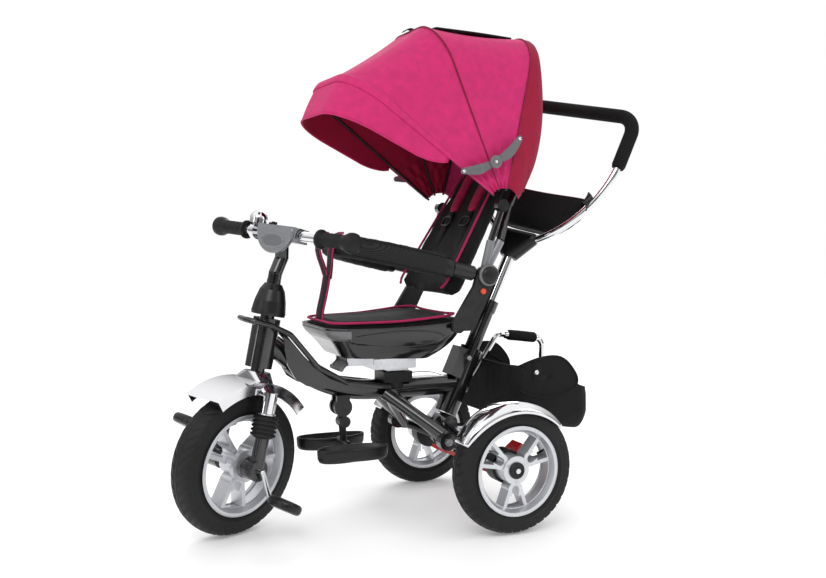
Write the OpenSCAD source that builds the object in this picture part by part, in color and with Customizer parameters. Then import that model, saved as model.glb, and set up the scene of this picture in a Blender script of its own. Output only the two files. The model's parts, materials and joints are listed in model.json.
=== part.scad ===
// Children's tricycle with a reversible seat, folding canopy and parent push handle.
// Origin: on the ground, under the rear axle, on the mid-plane.
// +X forward, +Y to the rider's left, +Z up.

/* [Wheels] */
// Outer radius of a rear tyre
rear_wheel_r = 127.5; // [125:0.5:130]
// Outer radius of the front tyre
front_wheel_r = 142; // [140:0.5:144]
// Distance between the mid-planes of the two rear wheels
track = 422; // [416:2:430]
// Half of the width of every tyre
tyre_half_w = 25; // [24:0.5:26]

/* [Frame] */
// Outer diameter of the main beam
beam_d = 42; // [38:1:46]
// Height of the middle of the main beam
beam_z = 267; // [265:1:269]
// Rearward lean of the steering axis, degrees
rake = 11; // [10:0.5:12]
// Rearward lean of the push handle's mast, degrees
mast_tilt = 24.5; // [24:0.5:25]

/* [Steering] */
// Turn of the front wheel and push handle to the left as the trike stands, degrees
steer_rest = 26; // [22:1:28]
// Width of the handlebar over its grips
handlebar_w = 400; // [390:5:400]
// Travel of the sprung fork
fork_travel = 12; // [8:1:12]

/* [Seat and canopy] */
// Half of the width of the seat shell's rim
seat_half_w = 136; // [130:1:138]
// Rearward lean of the backrest, degrees
back_lean = 29; // [28:0.5:30]
// Height of the recline pivot
recline_z = 508; // [506:1:510]
// Radius of the canopy from its pivot to the top of its front hoop
canopy_r = 406; // [402:1:408]
// Half of the width of the canopy over its outermost panel
canopy_half_w = 156; // [155:0.5:158]

/* [Hidden] */
$fn = 48;
fit = 0.08;
gap = 0.6;
axle_r = 5;

rear_axle_pos = [0, 0, rear_wheel_r];
head_foot = [452, 0, 340];
front_axle_u = 13;
front_axle_w = -(head_foot[2] - front_wheel_r) / cos(rake) - front_axle_u * tan(rake);
head_tube_low = -14;
head_tube_high = 84;
head_tube_r = 27;
steerer_r = 14;
leg_y = 58;
leg_u = 10;
bar_w = 252;
mast_foot = [-16, 0, 333];
mast_r = 16;
slider_r = 12.5;
loop_start = 240;
swivel_x = 165;
pedestal_z = 306;
recline_x = 27;
bracket_y = 142;
canopy_pivot = [-12, 0, 647];
front_hoop_a = 37;
middle_hoop_a = 68;
rear_hoop_a = 103;
black = [0.06, 0.06, 0.07];
chrome = [0.85, 0.85, 0.87];
silver = [0.74, 0.75, 0.77];
pink = [0.86, 0.2, 0.46];
grey = [0.45, 0.47, 0.5];
red = [0.8, 0.08, 0.06];

// ---- helpers -------------------------------------------------------------------------------

// A round rod from a to b
module rod(a, b, r) {
    d = b - a;
    len = norm(d);
    translate(a)
        rotate([0, acos(d[2] / len), atan2(d[1], d[0])])
            cylinder(r = r, h = len);
}

// A round rod through several points, with a ball slightly prouder at each corner
module bent_rod(points, r) {
    for (i = [0 : len(points) - 2])
        rod(points[i], points[i + 1], r);
    for (i = [1 : len(points) - 2])
        translate(points[i])
            sphere(r = r * 1.01);
}

function unit(v) = v / norm(v);

// Points of the arc that rounds the corner b between a and c
function corner_arc(a, b, c, bend, steps) =
    let (
        d_in = unit(b - a), d_out = unit(c - b),
        turn = acos(d_in * d_out),
        inward = unit(d_out - d_in),
        centre = b + inward * bend / cos(turn / 2),
        side = unit(d_in + d_out)
    )
    [for (i = [0 : steps])
        let (q = turn * (i / steps - 0.5))
        centre + bend * (side * sin(q) - inward * cos(q))];

// A list of corners with each inner corner rounded
function rounded_path(p, bend, steps) = [
    p[0],
    for (i = [1 : len(p) - 2])
        each corner_arc(p[i - 1], p[i], p[i + 1], bend, steps),
    p[len(p) - 1]
];

// A tube of round section swept along a path; no stretch of the path runs along up
module swept_rod(path, r, up) {
    sides = 12;
    last = len(path) - 1;
    rings = [
        for (i = [0 : last])
            let (
                t = unit(path[min(i + 1, last)] - path[max(i - 1, 0)]),
                side = unit(cross(t, up)),
                top = cross(side, t)
            )
            for (k = [0 : sides - 1])
                path[i] + r * (side * cos(360 * k / sides) + top * sin(360 * k / sides))
    ];
    polyhedron(rings, [
        [for (k = [sides - 1 : -1 : 0]) k],
        [for (k = [0 : sides - 1]) last * sides + k],
        for (i = [0 : last - 1])
            for (k = [0 : sides - 1])
                let (n = (k + 1) % sides, low = i * sides, high = low + sides)
                for (face = [[low + k, low + n, high + n], [low + k, high + n, high + k]])
                    face
    ]);
}

// A cylinder whose axis is parallel to Y, centred on p
module y_disc(p, r, w) {
    translate(p)
        rotate([90, 0, 0])
            cylinder(r = r, h = w, center = true);
}

// A solid of revolution about Y through p; its profile is [radius, y]
module y_turned(p) {
    translate(p)
        rotate([-90, 0, 0])
            rotate_extrude()
                children();
}

// Part of a ring about Y through p, from angle a0 to a1 measured from +X towards +Z
module fan(p, a0, a1) {
    translate(p)
        rotate([90, 0, 0])
            rotate([0, 0, a0])
                rotate_extrude(angle = a1 - a0)
                    children();
}

// The same piece on both sides of the mid-plane
module both_sides() {
    children();
    mirror([0, 1, 0])
        children();
}

// Steering frame at rest: local Z runs up the steering axis from head_foot
module head_frame() {
    translate(head_foot)
        rotate([0, -rake, 0])
            rotate([0, 0, steer_rest])
                children();
}

// Push-handle frame at rest: local Z runs up the mast from mast_foot
module mast_frame() {
    translate(mast_foot)
        rotate([0, -mast_tilt, 0])
            rotate([0, 0, steer_rest])
                children();
}

// Backrest frame: origin on the recline axis, local Z up the backrest tubes
module back_frame() {
    translate([recline_x, 0, recline_z])
        rotate([0, -back_lean, 0])
            children();
}

// ---- wheels --------------------------------------------------------------------------------

// Tyre about Y: round-shouldered tread and a sidewall down to the rim seat
module tyre(p, r, seat_r, half_w) {
    y_turned(p)
        polygon([
            [seat_r, -half_w + 4], [seat_r + 6, -half_w], [seat_r + 20, -half_w],
            for (a = [-60 : 12 : 60]) [r - half_w * 0.72 * (1 - cos(a)), half_w * sin(a) * 1.12],
            [seat_r + 20, half_w], [seat_r + 6, half_w], [seat_r, half_w - 4]
        ]);
}

// One U-shaped spoke in the wheel's plane: two arms that meet in a curved bowl beside the hub
module spoke_outline(seat_r, hub_r) {
    half_spread = 21;
    arm_w = seat_r * 0.1;
    bowl_r = seat_r * 0.2;
    bowl_at = hub_r + bowl_r * 0.9;
    difference() {
        union() {
            for (s = [-1, 1])
                polygon([
                    [bowl_at, s * bowl_r],
                    [seat_r * cos(half_spread), seat_r * sin(half_spread) * s],
                    [seat_r * cos(half_spread), seat_r * sin(half_spread) * s - s * arm_w],
                    [bowl_at, s * (bowl_r - arm_w)]
                ]);
            translate([bowl_at, 0])
                circle(r = bowl_r);
        }
        translate([bowl_at, 0])
            circle(r = bowl_r - arm_w);
        translate([bowl_at, -(bowl_r - arm_w)])
            square([bowl_r * 1.2, 2 * (bowl_r - arm_w)]);
    }
}

// Rim about Y: two lips, a barrel, three U spokes and a hub with a running bore
module rim(p, lip_r, seat_r, lip_half_w, hub_r, hub_half_w, bore_r) {
    translate(p)
        rotate([-90, 0, 0])
            difference() {
                union() {
                    rotate_extrude()
                        polygon([
                            [lip_r - 7, -lip_half_w], [lip_r, -lip_half_w],
                            [seat_r - gap, -lip_half_w + 5], [seat_r - gap, lip_half_w - 5],
                            [lip_r, lip_half_w], [lip_r - 7, lip_half_w],
                            [seat_r - 7, lip_half_w - 12], [seat_r - 7, -lip_half_w + 12]
                        ]);
                    cylinder(r = hub_r, h = 2 * hub_half_w, center = true);
                    for (k = [0 : 2])
                        rotate([0, 0, 90 + 120 * k])
                            linear_extrude(height = 2 * hub_half_w - 6, center = true)
                                spoke_outline(seat_r - 5, hub_r - 3);
                }
                cylinder(r = bore_r, h = 6 * hub_half_w, center = true);
            }
}

rear_lip_r = 89;
rear_seat_r = 84;
front_lip_r = 100;
front_seat_r = 95;

module rear_tyre(s) {
    color(black)
        tyre([0, s * track / 2, rear_wheel_r], rear_wheel_r, rear_seat_r, tyre_half_w);
}

module rear_rim(s) {
    color(silver)
        rim([0, s * track / 2, rear_wheel_r], rear_lip_r, rear_seat_r, 27, 28, 18, axle_r + fit);
}

// Brake drum pressed onto the inner face of the wheel's hub
module brake_drum(s) {
    color(black)
        y_turned([0, s * (track / 2 - 33), rear_wheel_r])
            translate([axle_r + fit, -14.5])
                square([34 - axle_r, 29]);
}

module front_tyre() {
    color(black)
        head_frame()
            tyre([front_axle_u, 0, front_axle_w], front_wheel_r, front_seat_r, tyre_half_w + 1);
}

// Front wheel with the ring of the pedal clutch and its knob on the left of the hub
module front_rim() {
    color(silver)
        head_frame() {
            rim([front_axle_u, 0, front_axle_w], front_lip_r, front_seat_r, 28, 24, 20, axle_r + fit);
            y_turned([front_axle_u, 24, front_axle_w])
                translate([22, -4.2])
                    square([10, 12]);
            y_disc([front_axle_u + 34, 26, front_axle_w + 6], 7, 16);
            y_disc([front_axle_u + 30, 20.5, front_axle_w + 4], 8, 7);
        }
}

// ---- frame ---------------------------------------------------------------------------------

// Beam, head tube, mast socket and the rear arms, welded into one piece
module main_frame() {
    beam_r = beam_d / 2;
    bend_r = 260;
    bend_x = 215;
    rise = 42;
    bend_end = [bend_x + bend_r * sin(rise), 0, beam_z + bend_r * (1 - cos(rise))];
    color(black)
        difference() {
            union() {
                rod([-4, 0, beam_z], [bend_x, 0, beam_z], beam_r);
                fan([bend_x, 0, beam_z + bend_r], -90, -90 + rise)
                    translate([bend_r, 0])
                        circle(r = beam_r);
                rod(bend_end, bend_end + [46, 0, 46 * tan(rise)], beam_r * 0.9);
                translate(head_foot)
                    rotate([0, -rake, 0])
                        translate([0, 0, head_tube_low])
                            cylinder(r = head_tube_r, h = head_tube_high - head_tube_low);
                translate(mast_foot)
                    rotate([0, -mast_tilt, 0]) {
                        translate([0, 0, -140])
                            cylinder(r = 24, h = 150);
                        translate([0, -22, -62])
                            cube([34, 44, 64]);
                    }
                both_sides() {
                    rod([196, 30, 262], [104, 112, 184], 13);
                    rod([168, 22, 250], [92, 108, 166], 11);
                    rod([60, 0, 190], [30, 80, 150], 10);
                }
                y_disc([44, 0, 188], 16, 60);
                y_disc([182, 0, 256], 14, 72);
            }
            translate(head_foot)
                rotate([0, -rake, 0])
                    translate([0, 0, head_tube_low - 5])
                        cylinder(r = 20, h = head_tube_high - head_tube_low + 10);
            translate(mast_foot)
                rotate([0, -mast_tilt, 0])
                    translate([0, 0, -120])
                        cylinder(r = mast_r + fit, h = 200);
        }
}

// Thin rail that loops round the front of the head tube and runs down both sides of the skirt
module side_rails() {
    rail_r = 5.5;
    nose_r = 30;
    near = [[190, 38, 276], [285, 38, 291], [345, 38, 326], [400, 38, 392], [436, 38, 410], [488, 38, 424]];
    far = [for (i = [len(near) - 1 : -1 : 0]) [near[i][0], -near[i][1], near[i][2]]];
    swept_rod(rounded_path(concat(near, far), nose_r, 4), rail_r, [-0.5, 0, 0.87]);
}

// Moulded skirt under the beam, one shell on each side of it
module skirt_panels() {
    outline = [
        [410, 360], [404, 330], [388, 302], [366, 288], [335, 281], [297, 277], [250, 272], [215, 268],
        [215, 277], [250, 279], [290, 288], [318, 300], [345, 320], [374, 351], [396, 376], [412, 388]
    ];
    color(black)
        both_sides()
            translate([0, 33.5, 0])
                rotate([90, 0, 0])
                    linear_extrude(height = 5)
                        polygon(outline);
    color(black)
        side_rails();
}

// Block on the beam that carries the seat's turning post
module seat_pedestal() {
    color(black)
        difference() {
            union() {
                translate([swivel_x - 32, -26, beam_z + beam_d / 2 - 6])
                    cube([64, 52, 22]);
                translate([swivel_x, 0, beam_z])
                    cylinder(r = 24, h = pedestal_z - beam_z);
            }
            rod([swivel_x - 60, 0, beam_z], [swivel_x + 60, 0, beam_z], beam_d / 2 + 0.02);
            translate([swivel_x, 0, beam_z])
                cylinder(r = 12 + fit, h = 80);
        }
}

// Two rings pressed into the head tube, in which the steerer turns
module head_bearings() {
    color(silver)
        translate(head_foot)
            rotate([0, -rake, 0])
                for (z = [head_tube_low + 1, head_tube_high - 13])
                    translate([0, 0, z])
                        difference() {
                            cylinder(r = 20, h = 12);
                            translate([0, 0, -1])
                                cylinder(r = steerer_r + fit, h = 14);
                        }
}

// Steel rod on which both rear wheels turn
module rear_axle() {
    color(silver)
        y_disc(rear_axle_pos, axle_r, track + 52);
}

// Plates that carry the axle, with the round boss at the end of the rear arms
module axle_brackets() {
    color(black)
        both_sides()
            difference() {
                union() {
                    y_disc([102, 124, 173], 18, 20);
                    y_disc([0, 124, rear_wheel_r], 17, 20);
                    rod([102, 124, 173], [0, 124, rear_wheel_r], 9);
                    y_disc([0, 78, rear_wheel_r], 13, 92);
                }
                y_disc([0, 100, rear_wheel_r], axle_r, 300);
            }
}

// Bolts of the rear brackets, the mast socket and the head tube
module frame_bolts() {
    color(silver) {
        both_sides() {
            y_disc([102, 136, 173], 7.5, 4.2);
            y_disc([102, 138, 173], 4, 4);
        }
        translate(mast_foot)
            rotate([0, -mast_tilt, 0])
                translate([10, 22, -14])
                    rotate([-90, 0, 0])
                        cylinder(r = 5, h = 5);
    }
}

// Bright mudguards over the rear wheels, held to the boss of each bracket
module rear_fenders() {
    color(chrome)
        both_sides()
            intersection() {
                fan([-2, track / 2, rear_wheel_r + 2], 27, 148)
                    difference() {
                        translate([108, -36])
                            square([39, 72]);
                        translate([100, -33])
                            square([44, 66]);
                    }
                translate([-200, track / 2 - 36, 0])
                    cube([400, 72, 300]);
            }
}

// Bright hoop over and under the basket, welded to the mast socket
module carry_handle() {
    color(chrome)
        swept_rod(rounded_path([
            [-22, 0, 282], [-84, 0, 371], [-198, 0, 356], [-198, 0, 158], [36, 0, 176]
        ], 20, 5), 6, [0, 1, 0]);
}

// Corner posts of the basket's outline, from the front to the back, shrunk by wall
module basket_posts(wall, base, top) {
    for (s = [-1, 1])
        for (q = [[-66, 205, 318], [-130, 184, 336], [-208, 172, 262]])
            translate([q[0], s * 120, q[1] + base])
                cylinder(r = 22 - wall, h = q[2] - q[1] - base + top);
}

// Soft storage basket behind the frame, open at the top
module storage_basket() {
    color(black)
        difference() {
            hull()
                basket_posts(0, 0, 0);
            hull()
                basket_posts(4, 5, 120);
            translate([-198, 0, 140])
                cylinder(r = 8, h = 220);
            translate([-60, -12, 280])
                cube([40, 24, 80]);
        }
}

foot_hinge = [282, 0, 236];

// Fixed half of the footrest's knuckle, under the beam
module footrest_hanger() {
    color(black) {
        for (y = [-13, 13])
            y_disc(foot_hinge + [0, y, 0], 19, 8);
        y_disc(foot_hinge, 5, 18.4);
        both_sides()
            translate(foot_hinge + [-14, 9, 8])
                cube([28, 8, 17]);
    }
}

// Swinging leg of the footrest with its cross foot
module footrest_arm() {
    color(black)
        difference() {
            union() {
                y_disc(foot_hinge, 16, 16);
                rod(foot_hinge - [0, 0, 8], [275, 0, 160], 7.5);
                y_disc([277, 0, 205], 12, 26);
                y_disc([275, 0, 160], 8, 60);
            }
            y_disc(foot_hinge, 5 + fit, 40);
        }
}

// Two wing-shaped foot rests, open underneath
module foot_plates() {
    color(black)
        both_sides()
            difference() {
                translate([205, 30, 138])
                    cube([150, 66, 27]);
                translate([211, 36, 130])
                    cube([138, 54, 29]);
                y_disc([275, 0, 160], 8, 63);
            }
}

// Foot brake: a bent lever under the axle with a pad behind it
module brake_pedal(s) {
    color(red)
        difference() {
            union() {
                y_disc([0, s * 88, rear_wheel_r], 19, 15);
                bent_rod([[0, s * 88, 106], [-44, s * 88, 112], [-66, s * 100, 138]], 5);
                translate([-62, s * 96, 132])
                    rotate([0, 38, 0])
                        translate([-26, -20, -4])
                            cube([34, 40, 8]);
                translate([-2, s * 88, 101])
                    rotate([0, -24, 0])
                        translate([-24, -15, -5])
                            cube([52, 30, 9]);
            }
            y_disc([0, s * 88, rear_wheel_r], 13 + fit, 60);
        }
}

// ---- steering ------------------------------------------------------------------------------

// Plastic cone over the top of the head tube
module head_cone() {
    color(black)
        head_frame()
            rotate_extrude()
                polygon([
                    [steerer_r + fit, 90], [33, 90], [34, 96], [31, 118], [25, 140], [17, 153],
                    [steerer_r + fit, 153]
                ]);
}

// Steerer tube through the head tube, and the bent stem above it
module stem() {
    color(black)
        head_frame() {
            translate([0, 0, -28])
                cylinder(r = steerer_r, h = 188);
            bent_rod([[0, 0, 150], [0, 0, 174], [-9, 0, 206], [0, 0, 246]], steerer_r - 0.6);
        }
}

// Moulded bright crown with the upper legs and the front mudguard
module fork_crown() {
    color(chrome)
        head_frame() {
            difference() {
                union() {
                    hull() {
                        translate([0, 0, -30])
                            cylinder(r = 26, h = 8);
                        for (s = [-1, 1])
                            translate([leg_u, s * (leg_y - 4), -62])
                                cylinder(r = 15, h = 4);
                    }
                    for (s = [-1, 1])
                        translate([leg_u, s * leg_y, -98])
                            cylinder(r = 15, h = 44);
                }
                translate([0, 0, -110])
                    cylinder(r = steerer_r, h = 100);
                y_disc([front_axle_u, 0, front_axle_w], front_wheel_r + fork_travel + 4, 74);
            }
            for (s = [-1, 1])
                translate([leg_u, s * leg_y, -180])
                    cylinder(r = 7, h = 100);
            fan([front_axle_u, 0, front_axle_w], 48, 132)
                difference() {
                    translate([front_wheel_r + 2, -48])
                        square([22, 96]);
                    translate([front_wheel_r, -45])
                        square([20, 90]);
                }
        }
}

// Chrome handlebar tube
module handlebar() {
    color(chrome)
        head_frame()
            y_disc([0, 0, bar_w], 10.5, handlebar_w - 24);
}

// Black grips with a flange at one end and a knob at the other
module handlebar_grips() {
    color(black)
        head_frame()
            for (s = [-1, 1])
                y_turned([0, 0, bar_w])
                    polygon([
                        for (q = [[10.5, -96], [19, -96], [19, -90], [14, -88], [13, -40], [14, -26], [19, -20],
                                  [20, -6], [16, 0], [0, 0], [0, -12], [10.5, -12]])
                            [q[0], s * (handlebar_w / 2 + q[1])]
                    ]);
}

// Grey half-round plate and top cover round the middle of the handlebar
module handlebar_plate() {
    color(grey)
        head_frame()
            difference() {
                union() {
                    intersection() {
                        translate([14, 0, bar_w + 12])
                            rotate([0, 90, 0])
                                cylinder(r = 52, h = 8);
                        translate([10, -60, bar_w - 45])
                            cube([20, 120, 60]);
                    }
                    translate([-20, -52, bar_w - 14])
                        cube([38, 104, 28]);
                }
                y_disc([0, 0, bar_w], 10.5, 200);
                translate([0, 0, bar_w - 40])
                    cylinder(r = steerer_r + 2, h = 44);
            }
}

// Bell on the right of the bar: clamp ring, base and bright dome
module bell() {
    color(chrome)
        head_frame()
            translate([0, -78, bar_w]) {
                difference() {
                    y_disc([0, 0, 0], 17, 12);
                    y_disc([0, 0, 0], 10.5, 20);
                }
                translate([0, 0, 15])
                    cylinder(r = 17, h = 9);
                translate([0, 0, 24.5])
                    intersection() {
                        sphere(r = 18);
                        translate([-20, -20, 0])
                            cube([40, 40, 20]);
                    }
                translate([0, 0, 23])
                    cylinder(r = 6, h = 4);
            }
}

// Thumb lever of the bell
module bell_lever() {
    color(black)
        head_frame()
            translate([0, -78, bar_w + 19])
                difference() {
                    union() {
                        translate([-19, 0, -3])
                            rotate([0, 0, 90])
                                translate([14, -3, 0])
                                    cube([13, 6, 6]);
                        translate([-19, 27, -5])
                            cylinder(r = 6, h = 10);
                    }
                    cylinder(r = 17 + gap, h = 30, center = true);
                }
}

// Lower legs of the sprung fork, joined to the axle housings
module fork_lowers() {
    color(black)
        head_frame() {
            for (s = [-1, 1])
                difference() {
                    union() {
                        translate([leg_u, s * leg_y, front_axle_w])
                            cylinder(r = 14, h = -front_axle_w - 120);
                        y_disc([front_axle_u, s * 54, front_axle_w], 21, 32);
                    }
                    translate([leg_u, s * leg_y, -197])
                        cylinder(r = 7 + fit, h = 100);
                    y_disc([front_axle_u, s * 54, front_axle_w], axle_r + fit, 80);
                }
        }
}

// Ribbed gaiters between the upper and lower legs
module gaiters() {
    ribs = 5;
    top = -98 - gap;
    pitch = 42 / ribs;
    color(black)
        head_frame()
            for (s = [-1, 1])
                translate([leg_u, s * leg_y, 0])
                    rotate_extrude()
                        polygon([
                            [15.5, top],
                            for (k = [0 : ribs - 1])
                                for (q = [[20, 0.05], [25, 0.3], [25, 0.6], [20, 0.9]])
                                    [q[0], top - pitch * (k + q[1])],
                            [15.5, top - pitch * ribs]
                        ]);
}

// Coil springs round the upper legs, shown as sleeves
module fork_springs() {
    color(silver)
        head_frame()
            for (s = [-1, 1])
                translate([leg_u, s * leg_y, -119.4])
                    difference() {
                        cylinder(r = 12, h = 20.8);
                        translate([0, 0, -1])
                            cylinder(r = 9, h = 24);
                    }
}

crank_a = -59;
crank_len = 62;
crank_y = 80;
pedal_y = 118;

function crank_end(s) = [
    front_axle_u - s * crank_len * cos(crank_a),
    s * crank_y,
    front_axle_w + s * crank_len * sin(crank_a)
];

// One bent steel axle with an arm and a pedal spindle at each end
module crank() {
    color(chrome)
        head_frame()
            for (s = [-1, 1]) {
                y_disc([front_axle_u, s * crank_y / 2, front_axle_w], axle_r, crank_y);
                translate([front_axle_u, s * crank_y, front_axle_w])
                    sphere(r = axle_r * 1.05);
                rod([front_axle_u, s * crank_y, front_axle_w], crank_end(s), axle_r);
                translate(crank_end(s))
                    sphere(r = axle_r * 1.05);
                y_disc(crank_end(s) + [0, s * 34, 0], axle_r - 1, 68);
            }
}

// Oval pedal on its spindle
module pedal(s) {
    color(black)
        head_frame()
            translate(crank_end(s) + [0, s * (pedal_y - crank_y + 3), 0])
                rotate([0, -20, 0])
                    difference() {
                        union() {
                            for (y = [-6, 6])
                                translate([0, y, -10])
                                    cylinder(r = 29, h = 20);
                            translate([-29, -6, -10])
                                cube([58, 12, 20]);
                        }
                        y_disc([0, 0, 0], axle_r - 1 + fit, 90);
                    }
}

// ---- seat ----------------------------------------------------------------------------------

// Steel plate and post that turn in the pedestal
module seat_turntable() {
    color(silver) {
        translate([swivel_x, 0, beam_z + 22])
            cylinder(r = 12, h = pedestal_z - beam_z - 20);
        translate([swivel_x - 24, -24, pedestal_z + gap])
            cube([48, 48, 6]);
        translate([swivel_x - 34, -40, pedestal_z + gap + 6])
            cube([94, 80, 21.4]);
        both_sides() {
            translate([swivel_x + 60, 32, pedestal_z + gap + 16])
                cube([55, 6, 16]);
            y_disc([lever_pin[0], 29, lever_pin[2]], 3, 16);
        }
    }
}

// One level of the seat: round-cornered, w0 and z0 at the back and w1 and z1 at the front
module seat_slice(x0, x1, w0, w1, z0, z1, h) {
    for (s = [-1, 1]) {
        translate([x0 + 30, s * (w0 - 30), z0])
            cylinder(r = 30, h = h, $fn = 32);
        translate([x1 - 40, s * (w1 - 40), z1])
            cylinder(r = 40, h = h, $fn = 32);
    }
}

// Deep moulded bucket, open at the top
module seat_shell() {
    color(black)
        difference() {
            hull() {
                seat_slice(54, 340, seat_half_w, 112, 410, 398, 6);
                seat_slice(72, 326, seat_half_w - 8, 104, 380, 378, 4);
                seat_slice(110, 300, 92, 84, 334, 346, 4);
            }
            hull() {
                seat_slice(60, 334, seat_half_w - 6, 106, 414, 402, 20);
                seat_slice(78, 320, seat_half_w - 14, 98, 386, 384, 4);
                seat_slice(116, 294, 86, 78, 342, 354, 4);
            }
        }
}

// Padded seat cushion lying in the bucket
module seat_cushion() {
    color(black)
        hull() {
            seat_slice(68, 336, seat_half_w - 10, 102, 424, 414, 8);
            seat_slice(84, 312, seat_half_w - 24, 90, 394, 390, 4);
        }
}

lever_pin = [272, 0, 334];

// Release lever under the front of the seat
module seat_lever() {
    color([0.3, 0.27, 0.26])
        difference() {
            union() {
                y_disc(lever_pin, 6, 60);
                rod(lever_pin + [0, -24, 0], lever_pin + [19, -24, -18], 5);
                rod(lever_pin + [0, 24, 0], lever_pin + [19, 24, -18], 5);
                y_disc(lever_pin + [19, 0, -18], 5, 58);
                translate(lever_pin)
                    rotate([0, 43, 0])
                        translate([0, -24, -3])
                            cube([26, 48, 6]);
            }
            y_disc(lever_pin, 3 + fit, 100);
        }
}

bar_tilt = 12.7;
bar_y = bracket_y - 3;
bar_bend_x = 162;

// Height of the safety bar's axis at a given x
function bar_z(x) = recline_z + 1.5 + (x - 46) * tan(bar_tilt);

// Arms from the shell up to the recline pivot, with the sockets of the safety bar
module side_arms() {
    plate_y = bracket_y + 3.2;
    color(grey)
        both_sides()
            difference() {
                union() {
                    translate([0, plate_y + 10, 0])
                        rotate([90, 0, 0])
                            linear_extrude(height = 10)
                                polygon([
                                    [10, 500], [24, 466], [58, 398], [104, 398], [104, 414], [80, 452],
                                    [58, 486], [50, 514], [40, 522], [16, 520]
                                ]);
                    y_disc([recline_x, plate_y + 5, recline_z], 19, 10);
                    y_disc([recline_x, bracket_y - 2, recline_z], 6.5, 20);
                    y_disc([86, bracket_y - 4, 404], 11, 20);
                    rod([54, bar_y, bar_z(54)], [100, bar_y, bar_z(100)], 15);
                }
                rod([40, bar_y, bar_z(40)], [140, bar_y, bar_z(140)], 11 + fit);
                y_disc([38, plate_y + 5, 476], 5.7, 40);
            }
}

// Push button below each recline pivot
module release_button(s) {
    color([0.86, 0.25, 0.1])
        y_disc([38, s * (bracket_y + 8.6), 476], 5.6, 15);
}

// U-shaped safety bar with a padded cover
module safety_bar() {
    color(black) {
        both_sides() {
            rod([48, bar_y, bar_z(48)], [bar_bend_x, bar_y, bar_z(bar_bend_x)], 11);
            rod([105, bar_y, bar_z(105)], [bar_bend_x, bar_y, bar_z(bar_bend_x)], 17);
        }
        translate([bar_bend_x, 0, bar_z(bar_bend_x)])
            rotate([0, -bar_tilt, 0])
                rotate([0, 0, -90])
                    rotate_extrude(angle = 180)
                        translate([bar_y, 0])
                            circle(r = 17);
    }
}

// Y-shaped strap from the bar down to the front of the seat
module crotch_strap() {
    color(black)
        translate([0, -16, 0])
            rotate([90, 0, 0])
                translate([0, 0, -32])
                    linear_extrude(height = 32)
                        polygon([
                            [318, 440], [312, 440], [304, 480], [298, 515], [298, 546], [303, 546],
                            [303, 515], [309, 480]
                        ]);
}

// ---- backrest and canopy -------------------------------------------------------------------

prong_y = bracket_y - 7;

// Two-pronged brackets that turn about the recline pivot
module recline_brackets() {
    color(grey)
        both_sides()
            difference() {
                union() {
                    y_disc([recline_x, bracket_y - 4, recline_z], 17, 13);
                    rod([recline_x - 4, prong_y, recline_z + 14], [recline_x - 17, prong_y, recline_z + 68], 9);
                    rod([recline_x - 8, prong_y, recline_z + 14], [recline_x - 38, prong_y, recline_z + 68], 9);
                }
                y_disc([recline_x, bracket_y - 4, recline_z], 6.5 + fit, 40);
            }
}

// Backrest hoop and the two posts that carry the canopy pivots
module backrest_frame() {
    color(black) {
        back_frame()
            bent_rod([
                [0, prong_y, 78], [0, 100, 160], [0, 92, 266], [0, 50, 306],
                [0, -50, 306], [0, -92, 266], [0, -100, 160], [0, -prong_y, 78]
            ], 8);
        both_sides() {
            rod([recline_x - 17, prong_y, recline_z + 68.5], [-12, bracket_y - 4, 640], 7);
            y_disc([-12, bracket_y - 4, 647], 13, 16);
        }
    }
}

// Padded backrest with raised sides
module backrest_pad() {
    color(black)
        back_frame()
            difference() {
                hull()
                    for (s = [-1, 1]) {
                        translate([34, s * 96, -58])
                            sphere(r = 22, $fn = 24);
                        translate([30, s * 62, 312])
                            sphere(r = 20, $fn = 24);
                    }
                translate([70, 0, 160])
                    cylinder(r = 46, h = 500, center = true);
            }
}

// Shoulder pads and straps on the front of the backrest
module harness() {
    color(pink)
        back_frame()
            for (s = [-1, 1])
                translate([57, s * 42 - 16, 110])
                    cube([9, 32, 170]);
}

// Hoop-shaped panel about the canopy pivot, between two angles; its sides lean in a little
module canopy_panel(r, half_w, a0, a1, wall) {
    corner = 92;
    top_w = half_w - 11;
    fan(canopy_pivot, a0, a1)
        difference() {
            union() {
                polygon([[34, -half_w], [r - corner, -top_w], [r - corner, top_w], [34, half_w]]);
                translate([34, -top_w + corner])
                    square([r - 34, 2 * (top_w - corner)]);
                for (s = [-1, 1])
                    translate([r - corner, s * (top_w - corner)])
                        circle(r = corner);
            }
            polygon([
                [0, wall - half_w], [34, wall - half_w], [r - corner, wall - top_w],
                [r - corner, top_w - wall], [34, half_w - wall], [0, half_w - wall]
            ]);
            translate([0, -top_w + corner])
                square([r - wall, 2 * (top_w - corner)]);
            for (s = [-1, 1])
                translate([r - corner, s * (top_w - corner)])
                    circle(r = corner - wall);
        }
}

// Rear curtain of the canopy and the rear hoop that the backrest carries
module canopy_back() {
    color(pink) {
        canopy_panel(canopy_r - 43, canopy_half_w - 8, rear_hoop_a - 4, rear_hoop_a + 8, 3);
        difference() {
            hull()
                both_sides() {
                    translate([-58, 126, 700])
                        cube([8, 13, 180]);
                    translate([-128, 30, 984])
                        cube([6, 30, 6]);
                    translate([-150, 40, 860])
                        cube([6, 14, 6]);
                    translate([-122, 44, 690])
                        cube([6, 16, 6]);
                    translate([-62, 118, 704])
                        cube([8, 16, 8]);
                }
            hull()
                both_sides() {
                    translate([-46, 123, 600])
                        cube([8, 13, 280]);
                    translate([-124, 27, 981])
                        cube([106, 30, 6]);
                    translate([-146, 37, 859])
                        cube([106, 14, 6]);
                    translate([-118, 41, 670])
                        cube([98, 16, 6]);
                }
        }
    }
}

// Middle panel: the fabric between the rear and the middle hoop
module canopy_middle() {
    color(pink)
        canopy_panel(canopy_r - 20, canopy_half_w - 4, middle_hoop_a - 3, rear_hoop_a - 5, 3);
}

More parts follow.
